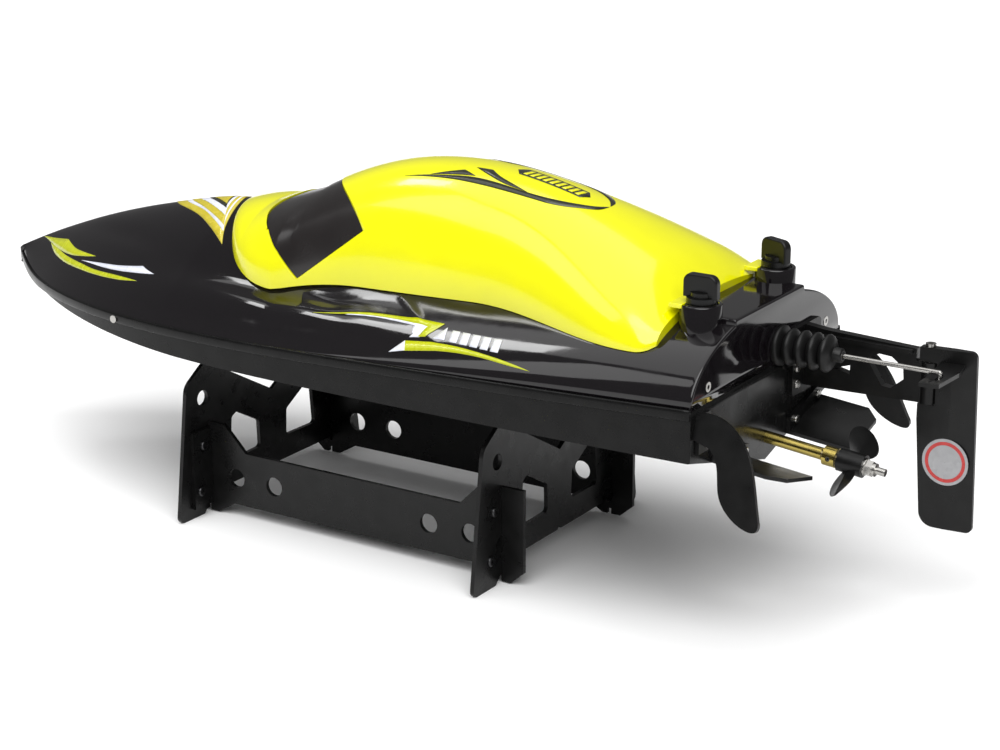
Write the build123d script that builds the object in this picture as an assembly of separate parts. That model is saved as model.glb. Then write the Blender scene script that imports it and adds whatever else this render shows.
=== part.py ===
from build123d import *
import math
import os

os.makedirs("parts", exist_ok=True)

# Radio-controlled racing boat on its display stand.  Millimetres.
# +X bow, +Y port, +Z up.  Origin: middle of the overall box, on the ground.

# ---- driving dimensions ------------------------------------------------------
BOW_X = 308.5             # bow tip
TRANSOM_X = -212.5        # flat stern face
HALF_BEAM = 90.0          # widest half width, at BEAM_X
BEAM_X = -48.0
BOW_POWER = 3.4           # how full the bow is in plan
KEEL_Z = 76.0             # straight part of the keel
CHINE_Z = 99.5            # hard edge between bottom and topside
SEAM_STERN_Z = 126.5      # deck joint at the transom
SEAM_SLOPE = 0.0345       # fall of the joint per mm towards the bow
CREST_Z = 180.0           # ridge line of the deck
COCKPIT_Z = 161.5         # flat deck under the canopy
COCKPIT_END_X = 66.0      # front end of that flat
COCKPIT_HALF = 39.5       # half width of the raised cockpit plate
SHOULDER_RISE = 36.5      # height of the rounded stern deck above the joint
WALL = 2.2                # moulded shell thickness
GAP = 0.4                 # air between separate moving bodies

CRADLE_XS = (112.5, -87.5)    # aft faces of the two cradle plates
PLATE = 2.4                   # stand sheet thickness
RAIL_Y = 58.0                 # inner face of a stand rail

SHAFT_TILT = 6.0              # propeller shaft droop, degrees
PROP_X = -261.5
PROP_Z = 83.6
PROP_R = 21.5

RUDDER_X = -284.0             # rudder pivot
RUDDER_Y = -40.0
PUSHROD_Y = -12.0
PUSHROD_Z = 135.4
SERVO_X = -158.0
SERVO_Y = -35.0

KNOB_X = -194.0
KNOB_Y = 42.0
BOSS_TOP_Z = 165.5        # seat of the canopy's ear inside the boss


# ---- hull form ---------------------------------------------------------------
def half_beam(x):
    """Half width of the hull in plan."""
    if x < BEAM_X:
        return HALF_BEAM - 4.0 * ((BEAM_X - x) / 165.0) ** 2
    t = min((x - BEAM_X) / (BOW_X - BEAM_X), 1.0)
    return HALF_BEAM * (1.0 - t ** BOW_POWER)


def keel_z(x):
    """Height of the keel line."""
    t = max(x - 105.0, 0.0) / (BOW_X - 105.0)
    return KEEL_Z + 32.0 * t ** 2.2


def chine_z(x):
    """Height of the hard chine."""
    t = max(x - 112.0, 0.0) / (BOW_X - 112.0)
    return CHINE_Z + 10.5 * t ** 1.6


def seam_z(x):
    """Height of the joint between hull and deck."""
    rise = max(x - 262.0, 0.0) / 46.0
    return SEAM_STERN_Z - SEAM_SLOPE * (x - TRANSOM_X) * 0.97 + 6.0 * rise ** 2


def crest_z(x):
    """Height of the deck's ridge line."""
    t = max(x - 12.0, 0.0) / (BOW_X - 12.0)
    return CREST_Z - 61.0 * t ** 2.3


def deck_power(x):
    """How rounded the deck is: 1 is a straight slope from ridge to joint."""
    t = min(max((x - 60.0) / 70.0, 0.0), 1.0)
    return 1.06 + 0.42 * t


def stern_share(x):
    """0 where the deck is peaked, rising to 1 where it is a round arch."""
    t = min(max((60.0 - x) / 250.0, 0.0), 1.0)
    return t * t * (3.0 - 2.0 * t)


def deck_rise(x, u, ridge, shoulder):
    """Deck height above the joint at the share u of the half width."""
    peaked = ridge * (1.0 - u ** deck_power(x))
    arched = shoulder * math.sqrt(1.0 - u * u)
    return peaked + (arched - peaked) * stern_share(x)


def deck_z(x, y):
    """Height of the deck's outer surface."""
    u = min(abs(y) / half_beam(x), 1.0)
    return seam_z(x) + deck_rise(x, u, crest_z(x) - seam_z(x), SHOULDER_RISE)


def stations(first, last, count):
    """Stations from stern to bow, closer together towards the bow."""
    xs = []
    for i in range(count):
        t = i / (count - 1)
        xs.append(first + (last - first) * (1.0 - (1.0 - t) ** 1.35))
    return xs


def at_station(x, points):
    """Closed flat outline at station x from (y, z) points."""
    return Plane.YZ.offset(x) * make_face(Polyline(*points, close=True))


DECK_SHARES = [math.cos(math.radians(a)) for a in (0, 11, 22, 33, 44, 56, 67, 78, 90)]


def hull_section(x, inset, top):
    """Vee bottom and vertical sides up to the height 'top'."""
    b = max(half_beam(x) - inset, 0.6)
    low = keel_z(x) + inset * 1.05
    side = max(chine_z(x) + inset * 0.35, low + 0.3)
    points = [(0, low), (b, side), (b, top), (-b, top), (-b, side)]
    return at_station(x, points)


def deck_section(x, inset):
    """Peaked deck outline above the joint."""
    b = max(half_beam(x) - inset, 0.8)
    base = seam_z(x)
    ridge = max(crest_z(x) - inset - base, 0.8)
    port = []
    for u in DECK_SHARES:
        port.append((b * u, base + deck_rise(x, u, ridge, SHOULDER_RISE - inset)))
    starboard = [(-y, z) for y, z in reversed(port[:-1])]
    return at_station(x, port + starboard)


def block(x0, x1, y0, y1, z0, z1):
    """Axis-aligned box from its limits."""
    size = Box(x1 - x0, y1 - y0, z1 - z0)
    return Pos((x0 + x1) / 2, (y0 + y1) / 2, (z0 + z1) / 2) * size


def rod(start, end, radius):
    """Round bar between two points."""
    a, b = Vector(*start), Vector(*end)
    plane = Plane(origin=a, z_dir=b - a)
    return extrude(plane * Circle(radius), (b - a).length)


def ring(start, end, outer, inner):
    """Tube between two points."""
    return rod(start, end, outer) - rod(start, end, inner)


def shaft_point(x):
    """Point of the propeller shaft axis at the given x."""
    return (x, 0.0, PROP_Z + (x - PROP_X) * math.tan(math.radians(SHAFT_TILT)))


def save(node, solids):
    """Write one node, given a solid or a list of separate solids."""
    items = solids if isinstance(solids, list) else [solids]
    found = [s for item in items for s in item.solids()]
    shape = found[0] if len(found) == 1 else Compound(children=found)
    export_step(shape, f"parts/{node}.step")
    low, high = shape.bounding_box().min, shape.bounding_box().max
    print(f"{node:24s} {len(found):3d} solids  "
          f"x {low.X:7.1f} {high.X:7.1f}  y {low.Y:6.1f} {high.Y:6.1f}  z {low.Z:6.1f} {high.Z:6.1f}")


# ---- hull and deck -----------------------------------------------------------
OUTER_XS = stations(TRANSOM_X, BOW_X, 15)
INNER_XS = stations(TRANSOM_X + WALL, BOW_X - 16.0, 13)

hull_outer = loft([hull_section(x, 0.0, seam_z(x) - 0.05) for x in OUTER_XS], ruled=True)
cavity = loft([hull_section(x, WALL, seam_z(x) + 3.0) for x in INNER_XS], ruled=True)
hull = hull_outer - cavity

deck_outer = loft([deck_section(x, 0.0) for x in OUTER_XS], ruled=True)
deck_inner = loft([deck_section(x, WALL) for x in INNER_XS], ruled=True)
CREST_CLEAR = 90.0
deck_outer -= block(TRANSOM_X - 5, COCKPIT_END_X, -60, 60, COCKPIT_Z, COCKPIT_Z + CREST_CLEAR)
deck_inner -= block(TRANSOM_X - 5, COCKPIT_END_X + WALL, -60, 60, COCKPIT_Z - WALL, COCKPIT_Z + CREST_CLEAR)
cockpit_plate = block(TRANSOM_X, COCKPIT_END_X, -COCKPIT_HALF, COCKPIT_HALF, COCKPIT_Z - 10, COCKPIT_Z)
deck = deck_outer + cockpit_plate - deck_inner

# rubbing strip that wraps the joint, outside the hull
STRIP_OUT = 1.3
STRIP_DROP = 5.0


def strip_section(x, out):
    """Band around the joint, 'out' wider than the hull."""
    b = half_beam(x) + out
    top = seam_z(x) + 0.4
    return at_station(x, [(b, top - STRIP_DROP), (b, top), (-b, top), (-b, top - STRIP_DROP)])


strip = loft([strip_section(x, STRIP_OUT) for x in OUTER_XS], ruled=True)
strip -= loft([hull_section(x, -0.05, seam_z(x) - 0.02) for x in OUTER_XS], ruled=True)
strip -= cavity
deck = deck + strip

# hatch opening with a raised coaming
HATCH_XS = (-150.0, 50.0)
HATCH_Y = 27.0
COAMING_H = 3.0
coaming = block(HATCH_XS[0] - 2, HATCH_XS[1] + 2, -HATCH_Y - 2, HATCH_Y + 2, COCKPIT_Z - 1,
                COCKPIT_Z + COAMING_H)
deck = deck + coaming
deck -= block(*HATCH_XS, -HATCH_Y, HATCH_Y, COCKPIT_Z - 12, COCKPIT_Z + 12)

# bosses that take the two thumb screws, each with a pocket for the canopy's ear
BOSS_R = 10.8
POCKET_R = 8.7
POCKET_DEPTH = 3.0
SHANK_R = 2.0
for side in (1, -1):
    boss = Pos(KNOB_X, side * KNOB_Y, 0) * extrude(Plane.XY.offset(148) * Circle(BOSS_R),
                                                   BOSS_TOP_Z + POCKET_DEPTH - 148)
    boss -= deck_inner
    boss -= Pos(KNOB_X, side * KNOB_Y, BOSS_TOP_Z) * extrude(Circle(POCKET_R), POCKET_DEPTH)
    boss -= block(KNOB_X, KNOB_X + BOSS_R + 1, side * KNOB_Y - POCKET_R, side * KNOB_Y + POCKET_R,
                  BOSS_TOP_Z, BOSS_TOP_Z + POCKET_DEPTH)
    deck = deck + boss
    bore = Pos(KNOB_X, side * KNOB_Y, 0) * extrude(Plane.XY.offset(150) * Circle(SHANK_R + 0.1), 30)
    deck -= bore

# openings in the stern walls
tube_hole = rod(shaft_point(TRANSOM_X - 10), shaft_point(TRANSOM_X + 12), 3.3)
hull -= tube_hole
deck -= rod((TRANSOM_X - 5, PUSHROD_Y, PUSHROD_Z), (TRANSOM_X + 12, PUSHROD_Y, PUSHROD_Z), 4.0)

# screws that hold the deck down: recessed in the shoulders and the bow sides
SHOULDER_SCREW_Y = 68.0
SHOULDER_SCREW_Z = 134.5
BOW_SCREW_X = 166.0
deck_screws = []
for side in (1, -1):
    y = side * SHOULDER_SCREW_Y
    head = rod((TRANSOM_X - 0.2, y, SHOULDER_SCREW_Z), (TRANSOM_X + 1.6, y, SHOULDER_SCREW_Z), 2.6)
    shank = rod((TRANSOM_X + 1.6, y, SHOULDER_SCREW_Z), (TRANSOM_X + 9.0, y, SHOULDER_SCREW_Z), 1.4)
    socket = rod((TRANSOM_X - 1.0, y, SHOULDER_SCREW_Z), (TRANSOM_X + 0.7, y, SHOULDER_SCREW_Z), 1.2)
    deck -= rod((TRANSOM_X - 1, y, SHOULDER_SCREW_Z), (TRANSOM_X + 1.6, y, SHOULDER_SCREW_Z), 3.0)
    deck -= rod((TRANSOM_X - 1, y, SHOULDER_SCREW_Z), (TRANSOM_X + 12, y, SHOULDER_SCREW_Z), 1.4)
    deck_screws.append(head + shank - socket)
    yb = side * half_beam(BOW_SCREW_X)
    zb = seam_z(BOW_SCREW_X) - 2.2
    start = (BOW_SCREW_X, yb + side * 2.6, zb)
    under_head = (BOW_SCREW_X, yb + side * 1.2, zb)
    tip = (BOW_SCREW_X, yb - side * 8.0, zb)
    hole = rod(start, tip, 1.3)
    deck -= hole
    hull -= hole
    deck -= rod((BOW_SCREW_X, yb + side * 6.0, zb), under_head, 2.4)
    deck_screws.append(rod(start, under_head, 2.2) + rod(under_head, tip, 1.3))

save("deck", deck)
save("deck_screws", deck_screws)

# clear inner cover that seals the hatch
cover = block(HATCH_XS[0] - 1.5, HATCH_XS[1] + 1.5, -HATCH_Y - 1.5, HATCH_Y + 1.5,
              COCKPIT_Z + COAMING_H, COCKPIT_Z + COAMING_H + 1.5)
cover = fillet(cover.edges().filter_by(Axis.Z), 6)
save("inner_hatch_cover", cover)

# ---- canopy ------------------------------------------------------------------
CANOPY_NOSE_X = 121.5
CANOPY_TAIL_X = -182.0
CANOPY_WAIST = 50.0       # half width at the middle
CANOPY_HIP = 71.3         # half width near the tail
HIP_X = -172.0
COLLAR_X = 66.0           # widest point of the front collar
COLLAR_HALF = 58.0
CANOPY_WALL = 2.0
ROOF_Z = 213.8


def canopy_half_width(x):
    """Half width of the canopy's lower edge."""
    if x > COLLAR_X:
        t = (x - COLLAR_X) / (CANOPY_NOSE_X - COLLAR_X)
        return COLLAR_HALF * math.sqrt(max(1.0 - t ** 2, 0.0))
    if x > 10.0:
        return CANOPY_WAIST + (COLLAR_HALF - CANOPY_WAIST) * ((x - 10.0) / (COLLAR_X - 10.0)) ** 2
    if x > -60.0:
        return CANOPY_WAIST
    if x > HIP_X:
        t = (-60.0 - x) / (-60.0 - HIP_X)
        return CANOPY_WAIST + (CANOPY_HIP - CANOPY_WAIST) * math.sin(t * math.pi / 2) ** 2
    corner = 12.0
    return CANOPY_HIP - corner + math.sqrt(corner ** 2 - (HIP_X - x) ** 2)


def canopy_top_z(x):
    """Height of the canopy along the middle."""
    if x > 95.0:
        t = (x - 95.0) / (CANOPY_NOSE_X - 95.0)
        return 178.5 - 4.3 * t ** 2
    if x > 57.0:
        return 178.5 + (95.0 - x) / 38.0 * 12.5
    if x > -35.0:
        t = (x + 35.0) / 92.0
        return 193.0 + (ROOF_Z - 193.0) * (1.0 - t ** 2.3)
    t = (-35.0 - x) / 150.0
    tail = max((-160.0 - x) / 22.0, 0.0)
    return ROOF_Z - 43.8 * t ** 1.76 - 6.0 * tail ** 1.6


def canopy_roundness(x):
    """Exponent of the section's height: fuller towards the nose."""
    return 0.85 + 0.13 * min(max((10.0 - x) / 110.0, 0.0), 1.0)


def canopy_section(x, inset):
    """Rounded roof outline standing on the deck's slope."""
    w = max(canopy_half_width(x) - inset, 1.5)
    base = deck_z(x, canopy_half_width(x)) + GAP
    rise = max(canopy_top_z(x) - inset - base, 1.0)
    steps = 8
    port = []
    for i in range(steps + 1):
        a = i / steps * math.pi / 2
        port.append((w * math.cos(a) ** 0.9, base + rise * math.sin(a) ** canopy_roundness(x)))
    starboard = [(-y, z) for y, z in reversed(port[:-1])]
    return at_station(x, port + starboard)


CANOPY_XS = [CANOPY_TAIL_X, -179, -174, -165, -150, -130, -105, -80, -60, -25, 10, 35, 50, 57, 66, 78, 90,
             100,
             108, 114, 118, 120.8]
canopy_outer = loft([canopy_section(x, 0.0) for x in CANOPY_XS], ruled=True)
canopy_inner = loft([canopy_section(x, CANOPY_WALL) for x in CANOPY_XS[1:-2]], ruled=True)


def deck_cutter(lift):
    """Everything below the deck's outer surface raised by 'lift'."""
    sections = []
    for x in [-240.0, -212.5, -180, -150, -120, -90, -60, -30, 0, 30, 60, 75, 90, 105, 125]:
        b = half_beam(x)
        port = []
        for u in DECK_SHARES:
            port.append((b * u, deck_z(x, b * u) + lift))
        starboard = [(-y, z) for y, z in reversed(port[:-1])]
        sections.append(at_station(x, port + starboard + [(-b, 40.0), (b, 40.0)]))
    return loft(sections, ruled=True)


below_deck = deck_cutter(GAP) - block(-260, COCKPIT_END_X + 0.6, -70, 70, COCKPIT_Z + GAP, 260)
below_deck = below_deck + block(-260, COCKPIT_END_X, -COCKPIT_HALF - GAP, COCKPIT_HALF + GAP, 140,
                                COCKPIT_Z + GAP)
canopy = canopy_outer - canopy_inner - below_deck

# flat ears at the back, under the thumb screws
EAR_Z = BOSS_TOP_Z + GAP
EAR_THICK = 2.4
EAR_R = 8.1
for side in (1, -1):
    ear = Pos(KNOB_X, side * KNOB_Y, EAR_Z) * extrude(Circle(EAR_R), EAR_THICK)
    arm = block(KNOB_X, CANOPY_TAIL_X + 4, side * KNOB_Y - EAR_R, side * KNOB_Y + EAR_R, EAR_Z,
                EAR_Z + EAR_THICK)
    ear = ear + (arm - canopy_inner)
    canopy = canopy + ear
    canopy -= Pos(KNOB_X, side * KNOB_Y, EAR_Z - 5) * extrude(Circle(SHANK_R + 0.1), 20)

# windshield opening and its smoked pane
SHIELD_PORT = [(85, 0), (86.6, 10), (87.2, 21), (85.6, 31), (80.5, 40), (76, 45), (75, 64),
               (2, 64), (10.5, 45.3), (22.6, 38.3), (31.5, 31.8), (38, 26), (43.3, 19.9), (47.5, 12), (50, 0)]
SHIELD_SIDE = [(100.0, 169.5), (74.5, 169.5), (64.4, 161.7), (57.4, 154.9), (50.4, 147.8), (10.5, 178.8),
               (-20.0, 202.5),
               (-20.0, 240.0), (100.0, 240.0)]


def shield_prism():
    """Windshield outline in plan, limited to its outline from the side."""
    starboard = [(x, -y) for x, y in reversed(SHIELD_PORT) if y > 0]
    plan = Pos(0, 0, 130) * extrude(make_face(Polyline(*SHIELD_PORT, *starboard, close=True)), 110)
    side = make_face(Polyline(*SHIELD_SIDE, close=True))
    return plan & extrude(Plane.XZ.offset(-80) * side, 160, dir=(0, -1, 0))


pane_outer = loft([canopy_section(x, 0.5) for x in CANOPY_XS], ruled=True)
pane_inner = loft([canopy_section(x, CANOPY_WALL) for x in CANOPY_XS[:-2]], ruled=True)
windshield = (pane_outer - pane_inner) & shield_prism()
windshield -= below_deck
canopy -= shield_prism()
save("canopy", canopy)
save("windshield", windshield)

# ---- thumb screws ------------------------------------------------------------
for side, label, turn in ((1, "port", 0.0), (-1, "starboard", -22.0)):
    base = EAR_Z + EAR_THICK + GAP
    disc = extrude(Circle(7.6), 3.0)
    wing = Pos(0, 0, 2.6) * extrude(Rectangle(19, 5.0), 12.0)
    wing = fillet(wing.edges().filter_by(Axis.Y).group_by(Axis.Z)[-1], 4.5)
    wing = fillet(wing.edges().filter_by(Axis.Z), 1.2)
    collar = extrude(Circle(5.6), 5.5)
    shank = Pos(0, 0, -13.0) * extrude(Circle(SHANK_R), 13.0)
    save(f"thumb_screw_{label}", Pos(KNOB_X, side * KNOB_Y, base) * Rot(0, 0,
                                                                        turn) * (disc + wing + collar + shank))

# ---- display stand -----------------------------------------------------------
BOTTOM_RISE = (CHINE_Z - KEEL_Z) / HALF_BEAM
PAD_Y = 60.0
PAD_Z = KEEL_Z + BOTTOM_RISE * PAD_Y - GAP
LEG_FOOT_Y = 88.0
CROSS_BAR_Z = 11.0


def cradle(x):
    """One saddle plate: vee top, two splayed legs, cut-outs."""
    half = [(0, 58), (PAD_Y, PAD_Z), (77.5, 80), (LEG_FOOT_Y, 0), (66, 0), (55, CROSS_BAR_Z), (0,
                                                                                               CROSS_BAR_Z)]
    mirrored = [(-y, z) for y, z in reversed(half[1:-1])]
    plate = at_station(x, half + mirrored)
    corners = plate.vertices()
    plate = fillet([v for v in corners if abs(abs(v.Y) - 77.5) < 0.1], 9)
    plate = fillet([v for v in plate.vertices() if abs(abs(v.Y) - PAD_Y) < 0.1], 8)
    plate = fillet([v for v in plate.vertices() if abs(abs(v.Y) - LEG_FOOT_Y) < 0.1], 4)
    solid = extrude(plate, PLATE, dir=(1, 0, 0))
    for side in (1, -1):
        window = [(12.5, 25.5), (41.0, 25.0), (38.5, 51.5), (34.0, 53.5), (13.2, 42.0)]
        hole = at_station(x - 1, [(side * y, z) for y, z in window])
        solid -= extrude(fillet(hole.vertices(), 2.5), PLATE + 2, dir=(1, 0, 0))
        solid -= rod((x - 1, side * 64, 70), (x + PLATE + 1, side * 64, 70), 4.6)
        solid -= block(x - 1, x + PLATE + 1, side * (RAIL_Y + PLATE / 2) - PLATE / 2 - 0.15,
                       side * (RAIL_Y + PLATE / 2) + PLATE / 2 + 0.15, 4.0, 55.0)
        for z in (43.0, 16.0):
            solid -= rod((x - 1, side * leg_screw_y(z), z), (x + PLATE + 1, side * leg_screw_y(z), z), 1.6)
    solid -= rod((x - 1, 0, CROSS_BAR_Z - 0.6), (x + PLATE + 1, 0, CROSS_BAR_Z - 0.6), 2.0)
    return solid


def leg_screw_y(z):
    """Sideways position of a leg screw, following the leg's splay."""
    return 71.5 - 0.14 * (z - 16.0)


def rail(side):
    """Side rail: web with four holes, bent flanges and end tabs."""
    xf, xr = CRADLE_XS
    y0 = side * RAIL_Y
    tab = 14.0
    web_points = [(xr - tab, 8), (xr - tab + 8, 1), (xr + 6, 1), (xr + 18, 8), (xf - 18, 8), (xf - 6, 1),
                  (xf + tab - 8, 1), (xf + tab, 8), (xf + tab, 55), (xf - 12, 55), (xf - 27, 40),
                  (xr + 27, 40), (xr + 12, 55), (xr - tab, 55)]
    face = Plane.XZ.offset(-y0) * make_face(Polyline(*web_points, close=True))
    web = extrude(face, PLATE, dir=(0, side, 0))
    for x in (xf - 20, xf - 47, xr + 47, xr + 20):
        web -= rod((x, y0 - side * 1, 24), (x, y0 + side * (PLATE + 1), 24), 5.6)
    for x in (xf, xr + PLATE):
        slot_x0 = x - 0.0 if x == xf else x - PLATE
        web -= block(slot_x0 - 0.1, slot_x0 + PLATE + 0.1, min(y0, y0 + side * PLATE) - 1,
                     max(y0, y0 + side * PLATE) + 1, 0.0, 4.4)
        web -= block(slot_x0 - 0.1, slot_x0 + PLATE + 0.1, min(y0, y0 + side * PLATE) - 1,
                     max(y0, y0 + side * PLATE) + 1, 54.6, 60)
    flanges = []
    for x0, x1 in ((xf - PLATE, xf), (xr + PLATE, xr + 2 * PLATE)):
        low_y, high_y = sorted((y0 + side * PLATE * 0.5, side * 76.5))
        flange = block(x0, x1, low_y, high_y, 6.0, 52.0)
        for z in (43.0, 16.0):
            flange -= rod((x0 - 1, side * leg_screw_y(z), z), (x1 + 1, side * leg_screw_y(z), z), 1.6)
        flanges.append(flange)
    return web + flanges


def leg_fasteners():
    """Button-head screws and nuts, two to a leg."""
    screws, nuts = [], []
    xf, xr = CRADLE_XS
    for side in (1, -1):
        for z in (43.0, 16.0):
            y = side * leg_screw_y(z)
            for head_x, nut_x in ((xf - PLATE, xf + PLATE), (xr, xr + 2 * PLATE)):
                end_x = nut_x + 3.4
                shank = rod((head_x - 0.01, y, z), (end_x, y, z), 1.5)
                head = rod((head_x - 1.6, y, z), (head_x, y, z), 2.8)
                head = fillet(head.edges().group_by(Axis.X)[0], 0.9)
                socket = extrude(Plane.YZ.offset(head_x - 1.7) * Pos(y, z, 0) * RegularPolygon(1.1, 6), 1.1,
                                 dir=(1, 0, 0))
                screws.append(head + shank - socket)
                nut = extrude(Plane.YZ.offset(nut_x) * Pos(y, z, 0) * RegularPolygon(3.1, 6), 2.4, dir=(1, 0,
                                                                                                        0))
                nuts.append(nut - rod((nut_x - 1, y, z), (end_x + 1, y, z), 1.55))
    return screws, nuts


front_x, rear_x = CRADLE_XS
save("stand_front_cradle", cradle(front_x))
save("stand_rear_cradle", cradle(rear_x))
save("stand_port_rail", rail(1))
save("stand_starboard_rail", rail(-1))
stand_screws, stand_nuts = leg_fasteners()
save("stand_screws", stand_screws)
save("stand_nuts", stand_nuts)

# ---- rudder group ------------------------------------------------------------
ARM_HALF = 2.5            # half thickness of the bracket's arm
BLADE_HALF = 2.5          # half thickness of the blade
KNUCKLE_R = 4.2           # bracket's eye round the pivot pin
KNUCKLE_LOW_Z = 109.0
KNUCKLE_TOP_Z = 131.0
PIN_R = 1.6
HORN_Z = 130.6            # underside of the horn and of the servo arm
HORN_THICK = 2.2
LINK_X = -300.5           # rod's bent end in the horn
LINK_R = 1.0
ROD_R = 1.2
ROD_PER_RADIAN = 29.2     # rod travel for each radian of rudder
SERVO_RATIO = 1.2         # servo arm turn for each radian of rudder
RUDDER_THROW = 20.0       # degrees each way
SLOT_R = 1.35


def xz_plate(points, y0, thickness):
    """Upright fore-and-aft plate from an (x, z) outline."""
    face = Plane.XZ.offset(-y0) * make_face(Polyline(*points, close=True))
    return extrude(face, thickness, dir=(0, 1, 0))


def pivot_bar(z0, z1, radius):
    """Upright cylinder on the rudder's pivot axis."""
    return rod((RUDDER_X, RUDDER_Y, z0), (RUDDER_X, RUDDER_Y, z1), radius)


def link_slot(pivot, link_x, turn_ratio):
    """Curved slot that the rod's end needs in an arm turning about 'pivot' at turn_ratio."""
    cut = None
    steps = 8
    previous = None
    for i in range(-steps, steps + 1):
        angle = math.radians(RUDDER_THROW + 1.5) * i / steps
        along = link_x - ROD_PER_RADIAN * angle - pivot[0]
        across = PUSHROD_Y - pivot[1]
        turn = -turn_ratio * angle
        x = pivot[0] + along * math.cos(turn) - across * math.sin(turn)
        y = pivot[1] + along * math.sin(turn) + across * math.cos(turn)
        spot = Pos(x, y, HORN_Z - 0.5) * extrude(Circle(SLOT_R), HORN_THICK + 1)
        cut = spot if cut is None else cut + spot
        if previous:
            gap = math.hypot(x - previous[0], y - previous[1])
            tilt = math.degrees(math.atan2(y - previous[1], x - previous[0]))
            middle = Pos((x + previous[0]) / 2, (y + previous[1]) / 2, HORN_Z - 0.5) * Rot(0, 0, tilt)
            cut = cut + middle * extrude(Rectangle(gap, 2 * SLOT_R), HORN_THICK + 1)
        previous = (x, y)
    return cut


arm_points = [(TRANSOM_X, 107.5), (TRANSOM_X, 141.0), (-226, 139.5), (-277.5, 137.4), (-277.5, 109), (-262,
                                                                                                      108.5),
              (-228, 107.5)]
arm = xz_plate(arm_points, RUDDER_Y - ARM_HALF, 2 * ARM_HALF)
window_points = [(-250, 128.0), (-257, 131.5), (-264, 131.0), (-270.5, 126.0), (-271, 120.0), (-264, 114.0),
                 (-259, 114.5)]
arm -= xz_plate(window_points, RUDDER_Y - 10, 20)
arm -= xz_plate([(-232, 119.5), (-241, 122.5), (-241, 117.5)], RUDDER_Y - 10, 20)
ledge = block(-276, TRANSOM_X, RUDDER_Y + ARM_HALF, RUDDER_Y + ARM_HALF + 3.0, 135.0, 137.2)
flange = block(TRANSOM_X - 2.5, TRANSOM_X, RUDDER_Y - 16.5, RUDDER_Y + 16.5, 104, 141)
flange = fillet(flange.edges().filter_by(Axis.X), 3.0)
knuckle = pivot_bar(KNUCKLE_LOW_Z, KNUCKLE_TOP_Z, KNUCKLE_R)
knuckle = knuckle + block(RUDDER_X, -276, RUDDER_Y - ARM_HALF, RUDDER_Y + ARM_HALF, KNUCKLE_LOW_Z,
                          KNUCKLE_TOP_Z)
bracket = arm + ledge + flange + knuckle
bracket -= pivot_bar(100, 150, PIN_R + 0.06)
bracket_screws = []
hull_drill = []
for dy in (-12.5, 12.5):
    for z in (110.5, 119.5):
        y = RUDDER_Y + dy
        hole = rod((TRANSOM_X - 3, y, z), (TRANSOM_X + 12, y, z), 1.4)
        bracket -= hole
        hull_drill.append(hole)
        head = rod((TRANSOM_X - 4.3, y, z), (TRANSOM_X - 2.5, y, z), 2.6)
        head = fillet(head.edges().group_by(Axis.X)[0], 0.8)
        bracket_screws.append(head + rod((TRANSOM_X - 2.5, y, z), (TRANSOM_X + 6, y, z), 1.4))
save("rudder_bracket", bracket)
save("bracket_screws", bracket_screws)

# blade: notched round the bracket's eye, with the steering horn on its port face
blade_face = make_face(Polyline((-279.2, 139.0), (-309.5, 140.0), (-312.5, 42.5), (-283.8, 42.5), (-279.2,
                                                                                                   100), close=True))
top_back = blade_face.vertices().sort_by(Axis.Y)[-1]
low_front = blade_face.vertices().group_by(Axis.Y)[0].sort_by(Axis.X)[-1]
low_back = blade_face.vertices().group_by(Axis.Y)[0].sort_by(Axis.X)[0]
blade_face = fillet([top_back, low_back], 3.5)
low_front = blade_face.vertices().group_by(Axis.Y)[0].sort_by(Axis.X)[-1]
blade_face = fillet([low_front], 8.0)
blade = extrude(Plane.XZ.offset(-(RUDDER_Y - BLADE_HALF)) * blade_face, 2 * BLADE_HALF, dir=(0, 1, 0))
wedge_cut = make_face(Polyline((-296, 2.6), (-314, 2.6), (-314, 0.8), close=True))
for side in (1, -1):
    taper = Pos(0, RUDDER_Y, 0) * (extrude(wedge_cut, 200) if side == 1 else mirror(extrude(wedge_cut, 200),
                                                                                    Plane.XZ))
    blade -= taper
blade -= pivot_bar(KNUCKLE_LOW_Z - GAP, KNUCKLE_TOP_Z + GAP, KNUCKLE_R + 1.2)
blade -= block(RUDDER_X, -270, RUDDER_Y - 5, RUDDER_Y + 5, KNUCKLE_LOW_Z - GAP, KNUCKLE_TOP_Z + GAP)
horn_outline = Polyline((-290.5, RUDDER_Y), (-303.5, RUDDER_Y), (-306, -24), (-304.5, -1.5), (-301.5, 0.5),
                        (-294.5, 0.5),
                        (-294.0, -14), close=True)
horn = Pos(0, 0, HORN_Z) * extrude(make_face(horn_outline), HORN_THICK)
blade = blade + horn
blade -= link_slot((RUDDER_X, RUDDER_Y), LINK_X, 1.0)
blade -= pivot_bar(90, 150, PIN_R)
save("rudder_blade", blade)
pin = pivot_bar(98.0, 139.4, PIN_R) + pivot_bar(139.4, 141.0, 2.8)
pin -= pivot_bar(140.1, 142, 1.1)
save("rudder_pivot_pin", pin)

# pushrod with a bent end hooked down through each arm
pushrod = rod((LINK_X, PUSHROD_Y, PUSHROD_Z), (SERVO_X, PUSHROD_Y, PUSHROD_Z), ROD_R)
for x in (LINK_X, SERVO_X):
    pushrod = pushrod + rod((x, PUSHROD_Y, HORN_Z - 2.4), (x, PUSHROD_Y, PUSHROD_Z), LINK_R)
    pushrod = pushrod + Pos(x, PUSHROD_Y, PUSHROD_Z) * Sphere(ROD_R)
save("pushrod", pushrod)

# rubber bellows round the pushrod
BELLOWS_END_X = -248.0
BELLOWS_FACE_X = -243.0


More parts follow.
